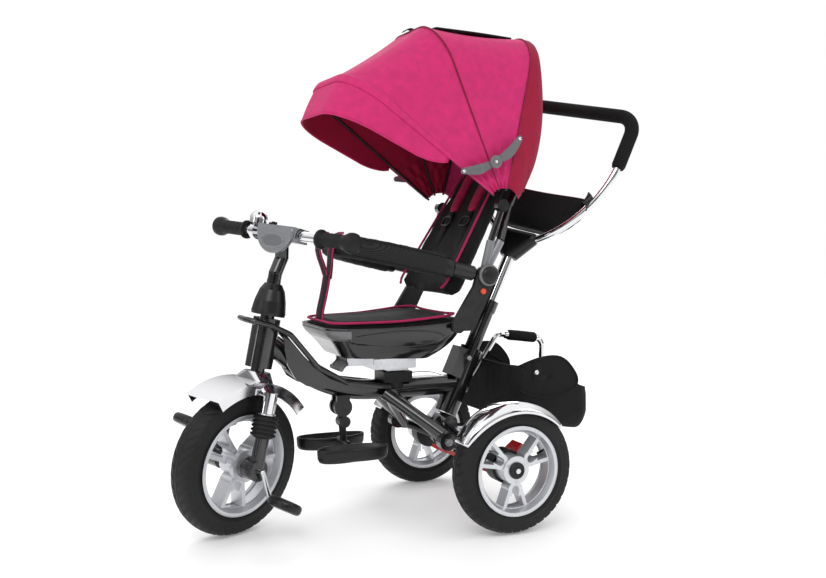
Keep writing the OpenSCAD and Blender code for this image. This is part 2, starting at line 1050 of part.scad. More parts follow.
// Front panel and sun visor
module canopy_front() {
    color(pink)
        canopy_panel(canopy_r, canopy_half_w, 26.5, middle_hoop_a - 4, 3);
}

strut_y = canopy_half_w + 2;
strut_rear_pin = [-39.2, 0, 780.6];
strut_elbow = [19.1, 0, 732.2];
strut_front_pin = [88.3, 0, 711.9];

// Flat arm between two points on the side of the canopy
module strut_arm(a, b, y, t) {
    both_sides()
        translate([0, y + t, 0])
            rotate([90, 0, 0])
                linear_extrude(height = t)
                    union() {
                        translate([a[0], a[2]])
                            circle(r = 6);
                        translate([b[0], b[2]])
                            circle(r = 11);
                        translate([a[0], a[2]])
                            rotate([0, 0, atan2(b[2] - a[2], b[0] - a[0])])
                                translate([0, -5])
                                    square([norm(b - a), 10]);
                    }
}

module strut_rear() {
    color(grey) {
        strut_arm(strut_rear_pin, strut_elbow, strut_y, 4);
        both_sides()
            y_disc([strut_elbow[0], strut_y + 8, strut_elbow[2]], 5, 12);
    }
}

module strut_front() {
    color(grey)
        difference() {
            strut_arm(strut_front_pin, strut_elbow, strut_y + 4 + gap, 4);
            y_disc([strut_elbow[0], 0, strut_elbow[2]], 5 + fit, 600);
        }
}

// ---- push handle ---------------------------------------------------------------------------

// Black outer tube of the mast, turning in the frame's socket
module push_mast() {
    color(black)
        mast_frame()
            difference() {
                union() {
                    translate([0, 0, -118])
                        cylinder(r = mast_r, h = 238);
                    translate([0, 0, 96])
                        cylinder(r = mast_r + 2.5, h = 26);
                }
                translate([0, 0, -112])
                    cylinder(r = slider_r + fit, h = 300);
            }
}

// Chrome telescopic tube and the arms of the loop
module push_slider() {
    arc_r = 250;
    arc_y = -75;
    arc_z = loop_start + 255;
    color(chrome)
        mast_frame() {
            translate([0, 0, -70])
                cylinder(r = slider_r, h = loop_start + 82);
            both_sides() {
                translate([0, arc_y, arc_z])
                    rotate([90, 0, 90])
                        rotate([0, 0, -64])
                            rotate_extrude(angle = 64)
                                translate([arc_r, 0])
                                    circle(r = 8);
                rod([0, 175, arc_z], [0, 175, arc_z + 53], 8);
            }
        }
}

// Moulded fitting between the mast and the loop
module mast_fitting() {
    color(black)
        mast_frame()
            difference() {
                hull() {
                    translate([0, 0, loop_start - 14])
                        cylinder(r = 19, h = 10);
                    for (s = [-1, 1])
                        translate([0, s * 40, loop_start + 36])
                            sphere(r = 15, $fn = 32);
                }
                translate([0, 0, loop_start - 40])
                    cylinder(r = slider_r, h = 52);
            }
}

// Foam sleeve round the top of the loop
module foam_grip() {
    corner = 40;
    z0 = loop_start + 230;
    z1 = loop_start + 348;
    color(black)
        mast_frame()
            both_sides() {
                difference() {
                    rod([0, 175, z0], [0, 175, z1 - corner], 15);
                    rod([0, 175, z0 - 5], [0, 175, z1 - corner], 8);
                }
                rod([0, 0, z1], [0, 175 - corner, z1], 15);
                translate([0, 175 - corner, z1 - corner])
                    rotate([0, -90, 0])
                        rotate_extrude(angle = 90)
                            translate([corner, 0])
                                circle(r = 15);
            }
}

// Rows of round posts from the bag's mouth to its narrower bottom, shrunk by wall
module bag_outline(wall, top) {
    for (s = [-1, 1]) {
        translate([-36, s * 98, loop_start + 118])
            cylinder(r = 26 - wall, h = 38 + top, $fn = 32);
        translate([-30, s * 46, loop_start + 66 + wall])
            cylinder(r = 18 - wall, h = 6, $fn = 32);
    }
}

// Soft bag hung inside the loop, open at the top
module parent_bag() {
    color(black)
        mast_frame()
            difference() {
                hull()
                    bag_outline(0, 0);
                hull()
                    bag_outline(4, 20);
            }
}

main_frame();
skirt_panels();
seat_pedestal();
head_bearings();
rear_axle();
axle_brackets();
frame_bolts();
rear_fenders();
carry_handle();
storage_basket();
footrest_hanger();
footrest_arm();
foot_plates();
brake_pedal(1);  // brake_pedal_left
brake_pedal(-1);  // brake_pedal_right
rear_tyre(1);  // rear_tyre_left
rear_rim(1);  // rear_rim_left
brake_drum(1);  // brake_drum_left
rear_tyre(-1);  // rear_tyre_right
rear_rim(-1);  // rear_rim_right
brake_drum(-1);  // brake_drum_right
head_cone();
stem();
fork_crown();
handlebar();
handlebar_grips();
handlebar_plate();
bell();
bell_lever();
fork_lowers();
gaiters();
fork_springs();
front_tyre();
front_rim();
crank();
pedal(1);  // pedal_left
pedal(-1);  // pedal_right
seat_turntable();
seat_shell();
seat_cushion();
seat_lever();
side_arms();
release_button(1);  // release_button_left
release_button(-1);  // release_button_right
safety_bar();
crotch_strap();
recline_brackets();
backrest_frame();
backrest_pad();
harness();
canopy_back();
canopy_middle();
canopy_front();
strut_rear();
strut_front();
push_mast();
push_slider();
mast_fitting();
foam_grip();
parent_bag();
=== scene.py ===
# %% [markdown]
# # A children's tricycle, dressed
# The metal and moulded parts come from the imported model. This script gives them their finishes, and
# builds everything soft or finely shaped around them: canopy, seat, backrest, bags, tyres and trim.

# %% The fixed frame
import json
import math

import bmesh
import bpy
import numpy as np
from mathutils import Matrix, Vector


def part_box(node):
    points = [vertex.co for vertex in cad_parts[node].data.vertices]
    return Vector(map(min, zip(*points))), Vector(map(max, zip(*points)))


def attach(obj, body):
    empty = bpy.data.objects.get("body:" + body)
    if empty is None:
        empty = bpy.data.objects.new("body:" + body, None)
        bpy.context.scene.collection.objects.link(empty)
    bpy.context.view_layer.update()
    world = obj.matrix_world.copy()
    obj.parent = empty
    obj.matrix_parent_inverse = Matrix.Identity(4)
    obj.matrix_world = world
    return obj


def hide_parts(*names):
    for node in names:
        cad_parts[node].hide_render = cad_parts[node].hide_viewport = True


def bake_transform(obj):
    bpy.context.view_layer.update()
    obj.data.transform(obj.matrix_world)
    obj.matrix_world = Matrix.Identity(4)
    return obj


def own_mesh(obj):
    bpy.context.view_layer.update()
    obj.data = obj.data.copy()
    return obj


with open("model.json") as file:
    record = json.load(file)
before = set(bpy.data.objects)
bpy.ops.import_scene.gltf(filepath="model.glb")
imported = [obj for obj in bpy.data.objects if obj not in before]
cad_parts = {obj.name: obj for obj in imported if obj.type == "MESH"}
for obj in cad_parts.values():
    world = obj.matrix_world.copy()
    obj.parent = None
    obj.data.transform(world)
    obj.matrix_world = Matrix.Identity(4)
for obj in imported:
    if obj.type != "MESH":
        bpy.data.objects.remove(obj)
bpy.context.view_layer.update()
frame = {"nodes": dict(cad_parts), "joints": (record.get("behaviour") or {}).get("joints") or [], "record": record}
joints = {joint["name"]: joint for joint in frame["joints"]}
mm = 0.001

# %% [markdown]
# The steered parts stand turned to the left, so they are easiest to build straight and then turned.
# Each local frame below has its third axis along a joint's axis. The wheel's own axis gives the turn.

# %% Local frames of the steering, the mast and the backrest


def local_frame(origin, up, across):
    """A matrix from a local frame to the row frame: z along up, y near across."""
    z = Vector(up).normalized()
    x = Vector(across).cross(z).normalized()
    y = z.cross(x)
    matrix = Matrix((x, y, z)).transposed().to_4x4()
    matrix.translation = Vector(origin)
    return matrix


steering = joints["steering_turn"]
wheel = joints["front_wheel_spin"]
mast = joints["push_mast_turn"]
recline = joints["backrest_recline"]
BACK_LEAN = math.radians(29)
STEER_REST = math.radians(26)
HEAD = local_frame(steering["pos_m"], steering["axis"], wheel["axis"])
MAST = local_frame(mast["pos_m"], mast["axis"], (0, 1, 0)) @ Matrix.Rotation(STEER_REST, 4, "Z")
BACK = local_frame((recline["pos_m"][0], 0, recline["pos_m"][2]),
                   (-math.sin(BACK_LEAN), 0, math.cos(BACK_LEAN)), (0, 1, 0))
PIVOT = Vector((joints["canopy_fold"]["pos_m"][0], 0, joints["canopy_fold"]["pos_m"][2]))
WHEEL_CENTRE = Vector(wheel["pos_m"])
print("steering turned by", round(math.degrees(STEER_REST)), "degrees at rest")

# %% [markdown]
# A product like this is best lit by big soft boxes over a pale floor. Chrome and gloss black
# only look right if there is something to reflect, so long narrow lights stand at the sides.

# %% Camera, floor and studio light
scene = bpy.context.scene
camera_data = bpy.data.cameras.new("camera")
camera = bpy.data.objects.new("camera", camera_data)
scene.collection.objects.link(camera)
scene.camera = camera
camera_data.sensor_width = 36
camera_data.lens = 41.8
camera.location = (0.958, 1.831, 0.595)
scene.view_settings.view_transform = "Standard"
look = Vector((0.1206, 0, 0.4733)) - camera.location
camera.rotation_mode = "QUATERNION"
roll = Matrix.Rotation(math.radians(0.31), 4, "Z").to_quaternion()
camera.rotation_quaternion = look.to_track_quat("-Z", "Y") @ roll

# The sky is plain white behind the trike, but darker towards the horizon where it is reflected.
world = bpy.data.worlds.new("studio")
scene.world = world
world.use_nodes = True
sky = world.node_tree
background = sky.nodes["Background"]
background.inputs["Color"].default_value = (1, 1, 1, 1)
seen = sky.nodes.new("ShaderNodeLightPath")
coordinates = sky.nodes.new("ShaderNodeTexCoord")
split = sky.nodes.new("ShaderNodeSeparateXYZ")
sky.links.new(coordinates.outputs["Generated"], split.inputs[0])
height = sky.nodes.new("ShaderNodeMapRange")
height.inputs["From Min"].default_value = 0.05
height.inputs["From Max"].default_value = 0.7
height.inputs["To Min"].default_value = 0.22
height.inputs["To Max"].default_value = 1.25
sky.links.new(split.outputs["Z"], height.inputs["Value"])
strength = sky.nodes.new("ShaderNodeMix")
strength.inputs[3].default_value = 1.0
sky.links.new(seen.outputs["Is Camera Ray"], strength.inputs[0])
sky.links.new(height.outputs["Result"], strength.inputs[2])
sky.links.new(strength.outputs[0], background.inputs["Strength"])


def area_light(name, place, target, size, watts):
    """A rectangular soft box at place, facing target."""
    data = bpy.data.lights.new(name, "AREA")
    data.shape = "RECTANGLE"
    data.size, data.size_y = size
    data.energy = watts
    lamp = bpy.data.objects.new(name, data)
    scene.collection.objects.link(lamp)
    lamp.location = place
    lamp.rotation_mode = "QUATERNION"
    lamp.rotation_quaternion = (Vector(target) - Vector(place)).to_track_quat("-Z", "Y")


area_light("key", (1.6, 2.2, 2.4), (0.1, 0, 0.45), (1.6, 1.2), 26)
area_light("fill", (-1.8, 2.0, 1.3), (0.1, 0, 0.5), (1.2, 1.6), 8)
area_light("back", (-1.0, -2.2, 2.0), (0.1, 0, 0.6), (1.6, 1.2), 20)
area_light("strip", (2.6, 0.4, 0.9), (0.3, 0, 0.4), (0.3, 1.6), 6)


def dark_card(name, place, target, size):
    """A black card out of view, for gloss and chrome to reflect."""
    card_mesh = bpy.data.meshes.new(name)
    w, h = size[0] / 2, size[1] / 2
    card_mesh.from_pydata([(-w, -h, 0), (w, -h, 0), (w, h, 0), (-w, h, 0)], [], [(0, 1, 2, 3)])
    turn = (Vector(target) - Vector(place)).to_track_quat("-Z", "Y").to_matrix().to_4x4()
    turn.translation = Vector(place)
    card_mesh.transform(turn)
    card = bpy.data.objects.new(name, card_mesh)
    scene.collection.objects.link(card)
    return card


cards = [dark_card("card_camera", (1.5, 3.0, 1.0), (0.1, 0, 0.5), (1.6, 2.4)),
         dark_card("card_left", (3.0, 0.9, 0.7), (0.2, 0, 0.5), (0.8, 1.6)),
         dark_card("card_right", (-1.6, 2.6, 0.7), (0.1, 0, 0.5), (0.9, 1.6)),
         dark_card("card_top", (0.4, 0.6, 3.2), (0.1, 0, 0.5), (1.0, 2.2))]

FLOOR_HALF = 9.0
floor_mesh = bpy.data.meshes.new("floor")
floor_mesh.from_pydata([(-FLOOR_HALF, -FLOOR_HALF, 0), (FLOOR_HALF, -FLOOR_HALF, 0),
                        (FLOOR_HALF, FLOOR_HALF, 0), (-FLOOR_HALF, FLOOR_HALF, 0)],
                       [], [(0, 1, 2, 3)])
floor = bpy.data.objects.new("floor", floor_mesh)
scene.collection.objects.link(floor)
print("camera at", [round(v, 2) for v in camera.location])

# %% [markdown]
# ## Finishes
# Effects that several finishes share are node groups: a fine grain for moulded plastic, a plain
# weave for cloth, broad smudges for gloss, and worn light edges. Each gives values, never a shader.

# %% Shared effects


def new_group(name, inputs, outputs):
    """A shader group with named sockets: its tree, what it is given and what it gives."""
    tree = bpy.data.node_groups.new(name, "ShaderNodeTree")
    for label, kind, value in inputs:
        socket = tree.interface.new_socket(label, in_out="INPUT", socket_type=kind)
        if value is not None:
            socket.default_value = value
    for label, kind in outputs:
        tree.interface.new_socket(label, in_out="OUTPUT", socket_type=kind)
    ends = tree.nodes.new("NodeGroupInput"), tree.nodes.new("NodeGroupOutput")
    return tree, ends[0].outputs, ends[1].inputs


def node(tree, kind, links=(), **settings):
    """A node with its properties set, and each (input, source or value) linked or filled in."""
    made = tree.nodes.new(kind)
    for key, value in settings.items():
        setattr(made, key, value)
    for socket, source in links:
        if isinstance(source, bpy.types.NodeSocket):
            tree.links.new(source, made.inputs[socket])
        else:
            made.inputs[socket].default_value = source
    return made


def maths(tree, operation, a, b=0.0):
    """The result socket of one maths node."""
    return node(tree, "ShaderNodeMath", [(0, a), (1, b)], operation=operation).outputs[0]


VECTOR, FLOAT = "NodeSocketVector", "NodeSocketFloat"


def make_grain():
    """Fine moulded grain plus broad uneven gloss."""
    tree, given, out = new_group(
        "grain", [("Vector", VECTOR, None), ("Scale", FLOAT, 900.0), ("Smudge", FLOAT, 9.0)],
        [("Height", FLOAT), ("Smudges", FLOAT)])
    fine = node(tree, "ShaderNodeTexNoise", [("Vector", given["Vector"]), ("Scale", given["Scale"]),
                                             ("Detail", 2.0)])
    broad = node(tree, "ShaderNodeTexNoise", [("Vector", given["Vector"]), ("Scale", given["Smudge"]),
                                              ("Detail", 4.0)])
    tree.links.new(fine.outputs["Fac"], out["Height"])
    tree.links.new(broad.outputs["Fac"], out["Smudges"])
    return tree


def make_weave():
    """Two sets of threads crossing over and under: height, and a mask of the gaps between them."""
    tree, given, out = new_group(
        "weave", [("Vector", VECTOR, None), ("Threads", FLOAT, 900.0), ("Turn", FLOAT, 0.0)],
        [("Height", FLOAT), ("Gaps", FLOAT), ("Slubs", FLOAT)])
    turned = node(tree, "ShaderNodeVectorRotate",
                  [("Vector", given["Vector"]), ("Angle", given["Turn"])], rotation_type="Y_AXIS")
    parts = node(tree, "ShaderNodeSeparateXYZ", [(0, turned.outputs[0])])
    across = maths(tree, "ADD", parts.outputs["X"], maths(tree, "MULTIPLY", parts.outputs["Y"], 0.83))
    along = maths(tree, "ADD", parts.outputs["Z"], maths(tree, "MULTIPLY", parts.outputs["Y"], 0.37))
    warp = maths(tree, "SINE", maths(tree, "MULTIPLY", across, given["Threads"]))
    weft = maths(tree, "SINE", maths(tree, "MULTIPLY", along, given["Threads"]))
    tree.links.new(maths(tree, "MULTIPLY", warp, weft), out["Height"])
    gaps = maths(tree, "MULTIPLY", maths(tree, "ABSOLUTE", warp), maths(tree, "ABSOLUTE", weft))
    tree.links.new(gaps, out["Gaps"])
    slubs = node(tree, "ShaderNodeTexNoise", [("Vector", given["Vector"]), ("Scale", 60.0),
                                              ("Detail", 5.0)])
    tree.links.new(slubs.outputs["Fac"], out["Slubs"])
    return tree


def make_wear():
    """A mask of the sharp edges, broken up by noise."""
    tree, given, out = new_group("edge_wear", [("Vector", VECTOR, None), ("Amount", FLOAT, 0.5)],
                                 [("Mask", FLOAT)])
    shape = node(tree, "ShaderNodeNewGeometry")
    noise = node(tree, "ShaderNodeTexNoise", [("Vector", given["Vector"]), ("Scale", 70.0),
                                              ("Detail", 3.0)])
    edge = node(tree, "ShaderNodeMapRange",
                [("Value", shape.outputs["Pointiness"]), ("From Min", 0.53), ("From Max", 0.62)])
    broken = maths(tree, "MULTIPLY", edge.outputs["Result"], noise.outputs["Fac"])
    tree.links.new(maths(tree, "MULTIPLY", broken, given["Amount"]), out["Mask"])
    return tree


GRAIN, WEAVE, WEAR = make_grain(), make_weave(), make_wear()
print("shared effects", GRAIN.name, WEAVE.name, WEAR.name)

# %% [markdown]
# A hard finish is one Principled shader: its colour drifts a little, its gloss varies with smudges,
# and its edges are worn lighter. The same function makes paint, plastic, rubber and metal.

# %% Hard finishes


def start_material(name):
    """A new material: its tree, its Principled shader and object coordinates."""
    material = bpy.data.materials.new(name)
    material.use_nodes = True
    tree = material.node_tree
    shader = tree.nodes["Principled BSDF"]
    coords = node(tree, "ShaderNodeTexCoord").outputs["Object"]
    return material, tree, shader, coords


def group_node(tree, group, links):
    """One use of a shared group."""
    made = tree.nodes.new("ShaderNodeGroup")
    made.node_tree = group
    for socket, source in links:
        if isinstance(source, bpy.types.NodeSocket):
            tree.links.new(source, made.inputs[socket])
        else:
            made.inputs[socket].default_value = source
    return made


def blend_colour(tree, factor, dark, light):
    """A colour between two, by a factor that changes over the surface."""
    mixed = node(tree, "ShaderNodeMix", [(0, factor)], data_type="RGBA")
    mixed.inputs[6].default_value = (*dark, 1)
    mixed.inputs[7].default_value = (*light, 1)
    return mixed.outputs[2]


def bump(tree, shader, height, strength, distance):
    """A bump from a height that changes over the surface."""
    made = node(tree, "ShaderNodeBump", [("Height", height), ("Strength", strength),
                                         ("Distance", distance)])
    tree.links.new(made.outputs["Normal"], shader.inputs["Normal"])


def hard(name, colour, rough, metal=0.0, grain=900.0, depth=0.05, wear=0.4, coat=0.0, spread=0.1,
         shine=0.5):
    """Paint, plastic, rubber or metal. rough is the middle roughness and spread how far it varies."""
    material, tree, shader, coords = start_material(name)
    shader.inputs["Metallic"].default_value = metal
    shader.inputs["Coat Weight"].default_value = coat
    shader.inputs["Coat Roughness"].default_value = 0.06
    shader.inputs["Specular IOR Level"].default_value = shine
    effect = group_node(tree, GRAIN, [("Vector", coords), ("Scale", grain)])
    worn = group_node(tree, WEAR, [("Vector", coords), ("Amount", wear)])
    light = [min(1.0, c * 1.5 + 0.05) for c in colour]
    tree.links.new(blend_colour(tree, worn.outputs["Mask"], colour, light),
                   shader.inputs["Base Color"])
    gloss = node(tree, "ShaderNodeMapRange",
                 [("Value", effect.outputs["Smudges"]), ("From Min", 0.3), ("From Max", 0.7),
                  ("To Min", max(0.02, rough - spread)), ("To Max", rough + spread)])
    tree.links.new(gloss.outputs["Result"], shader.inputs["Roughness"])
    bump(tree, shader, effect.outputs["Height"], depth, 0.0004)
    return material


M = {
    "frame_black": hard("frame_black", (0.004, 0.004, 0.005), 0.16, coat=0.6, grain=500, depth=0.04),
    "moulded_black": hard("moulded_black", (0.004, 0.004, 0.005), 0.2, coat=0.5, depth=0.03),
    "satin_black": hard("satin_black", (0.006, 0.006, 0.007), 0.36, shine=0.35, grain=1400,
                        depth=0.25),
    "grip_black": hard("grip_black", (0.005, 0.005, 0.0055), 0.5, shine=0.3, grain=1600, depth=0.4),
    "tread_rubber": hard("tread_rubber", (0.008, 0.008, 0.0085), 0.56, shine=0.3, grain=1200,
                         depth=0.35, wear=0.2),
    "wheel_silver": hard("wheel_silver", (0.62, 0.63, 0.66), 0.34, metal=0.75, depth=0.06, wear=0.2),
    "chrome": hard("chrome", (0.72, 0.72, 0.74), 0.07, metal=1.0, depth=0.015, wear=0.0, spread=0.03),
    "zinc": hard("zinc", (0.62, 0.63, 0.66), 0.3, metal=1.0, grain=700, depth=0.12),
    "lever_grey": hard("lever_grey", (0.13, 0.13, 0.135), 0.3, grain=1200, depth=0.12),
    "plate_grey": hard("plate_grey", (0.23, 0.235, 0.25), 0.3, metal=0.35, grain=1200, depth=0.08),
    "button_orange": hard("button_orange", (0.72, 0.07, 0.02), 0.25, depth=0.05),
    "pedal_red": hard("pedal_red", (0.55, 0.012, 0.01), 0.25, coat=0.4, depth=0.05),
    "foam": hard("foam", (0.006, 0.006, 0.006), 0.8, shine=0.2, grain=700, depth=0.7, wear=0.1),
    "crimped_edge": hard("crimped_edge", (0.5, 0.51, 0.53), 0.25, metal=1.0, depth=0.1),
    "dark_hole": hard("dark_hole", (0.004, 0.004, 0.004), 0.7, depth=0.1, wear=0.0),
}
print(len(M), "hard finishes")

# %% [markdown]
# Cloth has a weave too fine to model, so it is bump and a slight mottling of colour, with a soft
# sheen at glancing angles. The safety bar's cover is an open diagonal net, so its gaps go darker.

# %% Cloth finishes


def cloth(name, colour, threads, depth=0.35, sheen=0.25, rough=0.75, turn=0.0, gap=0.5):
    """Woven cloth. threads sets how fine the weave is and gap how dark the spaces between are."""
    material, tree, shader, coords = start_material(name)
    shader.inputs["Sheen Weight"].default_value = sheen
    shader.inputs["Sheen Roughness"].default_value = 0.4
    shader.inputs["Specular IOR Level"].default_value = 0.25
    effect = group_node(tree, WEAVE, [("Vector", coords), ("Threads", threads), ("Turn", turn)])
    dark = [c * gap for c in colour]
    woven = blend_colour(tree, effect.outputs["Gaps"], dark, colour)
    slub = node(tree, "ShaderNodeMapRange", [("Value", effect.outputs["Slubs"]), ("From Min", 0.3),
                                             ("From Max", 0.7), ("To Min", 0.88), ("To Max", 1.08)])
    shade = node(tree, "ShaderNodeVectorMath", [(0, woven)], operation="SCALE")
    tree.links.new(slub.outputs["Result"], shade.inputs["Scale"])
    tree.links.new(shade.outputs[0], shader.inputs["Base Color"])
    gloss = node(tree, "ShaderNodeMapRange", [("Value", effect.outputs["Slubs"]),
                                              ("To Min", rough - 0.1), ("To Max", rough + 0.1)])
    tree.links.new(gloss.outputs["Result"], shader.inputs["Roughness"])
    bump(tree, shader, effect.outputs["Height"], depth, 0.0003)
    return material


M.update({
    "canopy_pink": cloth("canopy_pink", (0.66, 0.028, 0.17), 5200, depth=0.3, sheen=0.04, gap=0.85),
    # The inside of the canopy is the same pink cloth, painted darker as shade.
    "canopy_pink_shaded": cloth("canopy_pink_shaded", (0.36, 0.004, 0.04), 5200, depth=0.3, sheen=0.03,
                           gap=0.85),
    "black_fabric": cloth("black_fabric", (0.007, 0.007, 0.008), 3600, depth=0.5, sheen=0.04),
    "mesh_fabric": cloth("mesh_fabric", (0.03, 0.03, 0.033), 1100, sheen=0.05, depth=1.0, turn=0.78,
                         gap=0.12),
    "pink_pad": cloth("pink_pad", (0.55, 0.015, 0.1), 4200, depth=0.4, sheen=0.05),
    "pink_piping": cloth("pink_piping", (0.6, 0.025, 0.14), 6000, depth=0.3, sheen=0.05),
    "dark_binding": cloth("dark_binding", (0.008, 0.006, 0.007), 5000, depth=0.5, sheen=0.04),
    "seam_pink": cloth("seam_pink", (0.36, 0.01, 0.06), 6000, depth=0.4),
})

floor_material, floor_tree, floor_shader, floor_coords = start_material("floor_white")
floor_tone = node(floor_tree, "ShaderNodeTexNoise", [("Vector", floor_coords), ("Scale", 3.0)])
floor_tree.links.new(blend_colour(floor_tree, floor_tone.outputs["Fac"], (0.86, 0.86, 0.86),
                                  (0.9, 0.9, 0.9)), floor_shader.inputs["Base Color"])
floor_shader.inputs["Roughness"].default_value = 0.6
floor_shader.inputs["Emission Color"].default_value = (1, 1, 1, 1)
floor_shader.inputs["Emission Strength"].default_value = 0.2
floor_mesh.materials.append(floor_material)
card_material, card_tree, card_shader, card_coords = start_material("card_black")
card_tone = node(card_tree, "ShaderNodeTexNoise", [("Vector", card_coords), ("Scale", 2.0)])
card_tree.links.new(blend_colour(card_tree, card_tone.outputs["Fac"], (0.0, 0.0, 0.0),
                                 (0.02, 0.02, 0.02)), card_shader.inputs["Base Color"])
for card in cards:
    card.data.materials.append(card_material)
print(len(M), "finishes in all")

# %% [markdown]
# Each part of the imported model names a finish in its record, so one loop dresses them all. The
# soft solids get cloth too, although the pieces made below will stand for them.

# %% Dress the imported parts
for row in frame["record"]["subparts"]:
    target = frame["nodes"][row["node"]]
    target.data.materials.clear()
    target.data.materials.append(M[row["material_slot"]])

# %% [markdown]
# ## Shaping helpers
# Nearly every piece here is one of four shapes: a lathe turned about an axis, a tube swept along a
# path, a sheet given by a grid of points with a thickness, or a plate cut to an outline.


def piece(name, verts, faces, finish, body=None, stands_for=(), second=None, second_faces=()):
    """A closed mesh with outward normals, finished, and riding on its body if one is given."""
    mesh = bpy.data.meshes.new(name)
    mesh.from_pydata([tuple(map(float, v)) for v in verts], [], [tuple(map(int, f)) for f in faces])
    mesh.materials.append(M[finish])
    if second:
        mesh.materials.append(M[second])
        for index in second_faces:
            mesh.polygons[index].material_index = 1
    work = bmesh.new()
    work.from_mesh(mesh)
    bmesh.ops.remove_doubles(work, verts=work.verts, dist=2e-6)
    bmesh.ops.recalc_face_normals(work, faces=work.faces)
    for face in work.faces:
        face.smooth = True
    work.to_mesh(mesh)
    work.free()
    made = bpy.data.objects.new(name, mesh)
    scene.collection.objects.link(made)
    return settle(made, body, stands_for)


def settle(made, body=None, stands_for=()):
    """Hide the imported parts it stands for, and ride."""
    if stands_for:
        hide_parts(*stands_for)
    if body:
        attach(made, body)
    return made


def crease(made, degrees=35):
    """Keep edges sharper than this angle crisp."""
    mesh = made.data
    work = bmesh.new()
    work.from_mesh(mesh)
    for edge in work.edges:
        if len(edge.link_faces) == 2 and edge.calc_face_angle(0) > math.radians(degrees):
            edge.smooth = False
    work.to_mesh(mesh)
    work.free()
    return made


def strip(rows, columns, wrap_rows=False, wrap_columns=False, start=0):
    """Quads of a grid of points numbered row by row."""
    faces = []
    for i in range(rows if wrap_rows else rows - 1):
        for j in range(columns if wrap_columns else columns - 1):
            k, m = (i + 1) % rows, (j + 1) % columns
            faces.append([start + i * columns + j, start + i * columns + m,
                          start + k * columns + m, start + k * columns + j])
    return faces


print("done: build a piece from a mesh")

# %% Lathe, tube and sheet


def lathe(name, profile, place, finish, body=None, steps=72, **more):
    """Turn a profile of (radius, along) in metres about the third axis of place."""
    points = []
    for k in range(steps):
        a = 2 * math.pi * k / steps
        for r, w in profile:
            points.append(place @ Vector((r * math.cos(a), r * math.sin(a), w)))
    faces = strip(steps, len(profile), wrap_rows=True)
    if profile[0][0] > 1e-6 and profile[-1][0] > 1e-6:
        last = len(profile) - 1
        faces += [[k * len(profile) + last, k * len(profile), (k + 1) % steps * len(profile),
                   (k + 1) % steps * len(profile) + last] for k in range(steps)]
    return piece(name, points, faces, finish, body, **more)


def smooth_path(points, each=8, closed=False):
    """A Catmull-Rom curve through points, each stretch cut into a number of steps."""
    p = [np.array(q, float) for q in points]
    count = len(p)
    out = []
    for i in range(count if closed else count - 1):
        before = p[(i - 1) % count] if closed or i > 0 else 2 * p[0] - p[1]
        a, b = p[i], p[(i + 1) % count]
        after = p[(i + 2) % count] if closed or i + 2 < count else 2 * p[-1] - p[-2]
        for s in range(each):
            t = s / each
            out.append(0.5 * (2 * a + (b - before) * t + (2 * before - 5 * a + 4 * b - after) * t * t
                              + (3 * a - before - 3 * b + after) * t ** 3))
    if not closed:
        out.append(p[-1])
    return np.array(out)


def frames_along(path, closed=False):
    """Tangent, side and up directions along a path, turning as little as they can."""
    path = np.asarray(path, float)
    ahead = np.roll(path, -1, 0) if closed else np.vstack([path[1:], 2 * path[-1:] - path[-2:-1]])
    behind = np.roll(path, 1, 0) if closed else np.vstack([2 * path[:1] - path[1:2], path[:-1]])
    tangent = ahead - behind
    tangent /= np.linalg.norm(tangent, axis=1)[:, None]
    start = np.array([0, 0, 1.0]) if abs(tangent[0][2]) < 0.8 else np.array([1.0, 0, 0])
    ups = []
    up = start
    for t in tangent:
        up = up - t * (up @ t)
        up = up / np.linalg.norm(up)
        ups.append(up)
    ups = np.array(ups)
    return tangent, np.cross(ups, tangent), ups


def tube(name, path, radius, finish, body=None, sides=14, closed=False, **more):
    """A round tube along a path, closed at its ends. radius may change along it."""
    path = np.asarray(path, float)
    _, side, above = frames_along(path, closed)
    radii = np.broadcast_to(np.asarray(radius, float), (len(path),))
    turn = np.linspace(0, 2 * math.pi, sides, endpoint=False)
    rings = (path[:, None] + radii[:, None, None]
             * (side[:, None] * np.cos(turn)[None, :, None]
                + above[:, None] * np.sin(turn)[None, :, None]))
    faces = strip(len(path), sides, wrap_rows=closed, wrap_columns=True)
    if not closed:
        faces += [list(range(sides)), list(range((len(path) - 1) * sides, len(path) * sides))]
    return piece(name, rings.reshape(-1, 3), faces, finish, body, **more)


def sheet_normals(grid):
    """Unit normals of a grid of points."""
    along = np.gradient(grid, axis=0)
    across = np.gradient(grid, axis=1)
    normal = np.cross(along, across)
    return normal / np.maximum(np.linalg.norm(normal, axis=2), 1e-12)[..., None]


def shell(name, grid, thickness, finish, body=None, shaded_inside=None, wrap=False, **more):
    """A sheet with a thickness: grid is the outer face, and the inner face may take a second finish, used here for
    the cloth painted darker as shade.
    """
    grid = np.asarray(grid, float)
    rows, columns = grid.shape[:2]
    normal = sheet_normals(grid)
    if wrap:
        padded = np.concatenate([grid[-1:], grid, grid[:1]])
        normal = sheet_normals(padded)[1:-1]
    inner = grid - normal * thickness
    count = rows * columns
    outer_faces = strip(rows, columns, wrap_rows=wrap)
    inner_faces = [[v + count for v in reversed(f)] for f in outer_faces]
    rim = []
    for j in range(columns - 1):
        if not wrap:
            rim.append([j + 1, j, j + count, j + 1 + count])
            a = (rows - 1) * columns + j
            rim.append([a, a + 1, a + 1 + count, a + count])
    for i in range(rows if wrap else rows - 1):
        k = (i + 1) % rows
        rim.append([i * columns, k * columns, k * columns + count, i * columns + count])
        a, b = i * columns + columns - 1, k * columns + columns - 1
        rim.append([b, a, a + count, b + count])
    faces = outer_faces + inner_faces + rim
    start = len(outer_faces)
    return piece(name, np.concatenate([grid.reshape(-1, 3), inner.reshape(-1, 3)]), faces, finish,
                 body, second=shaded_inside, second_faces=range(start, start + len(inner_faces)), **more)


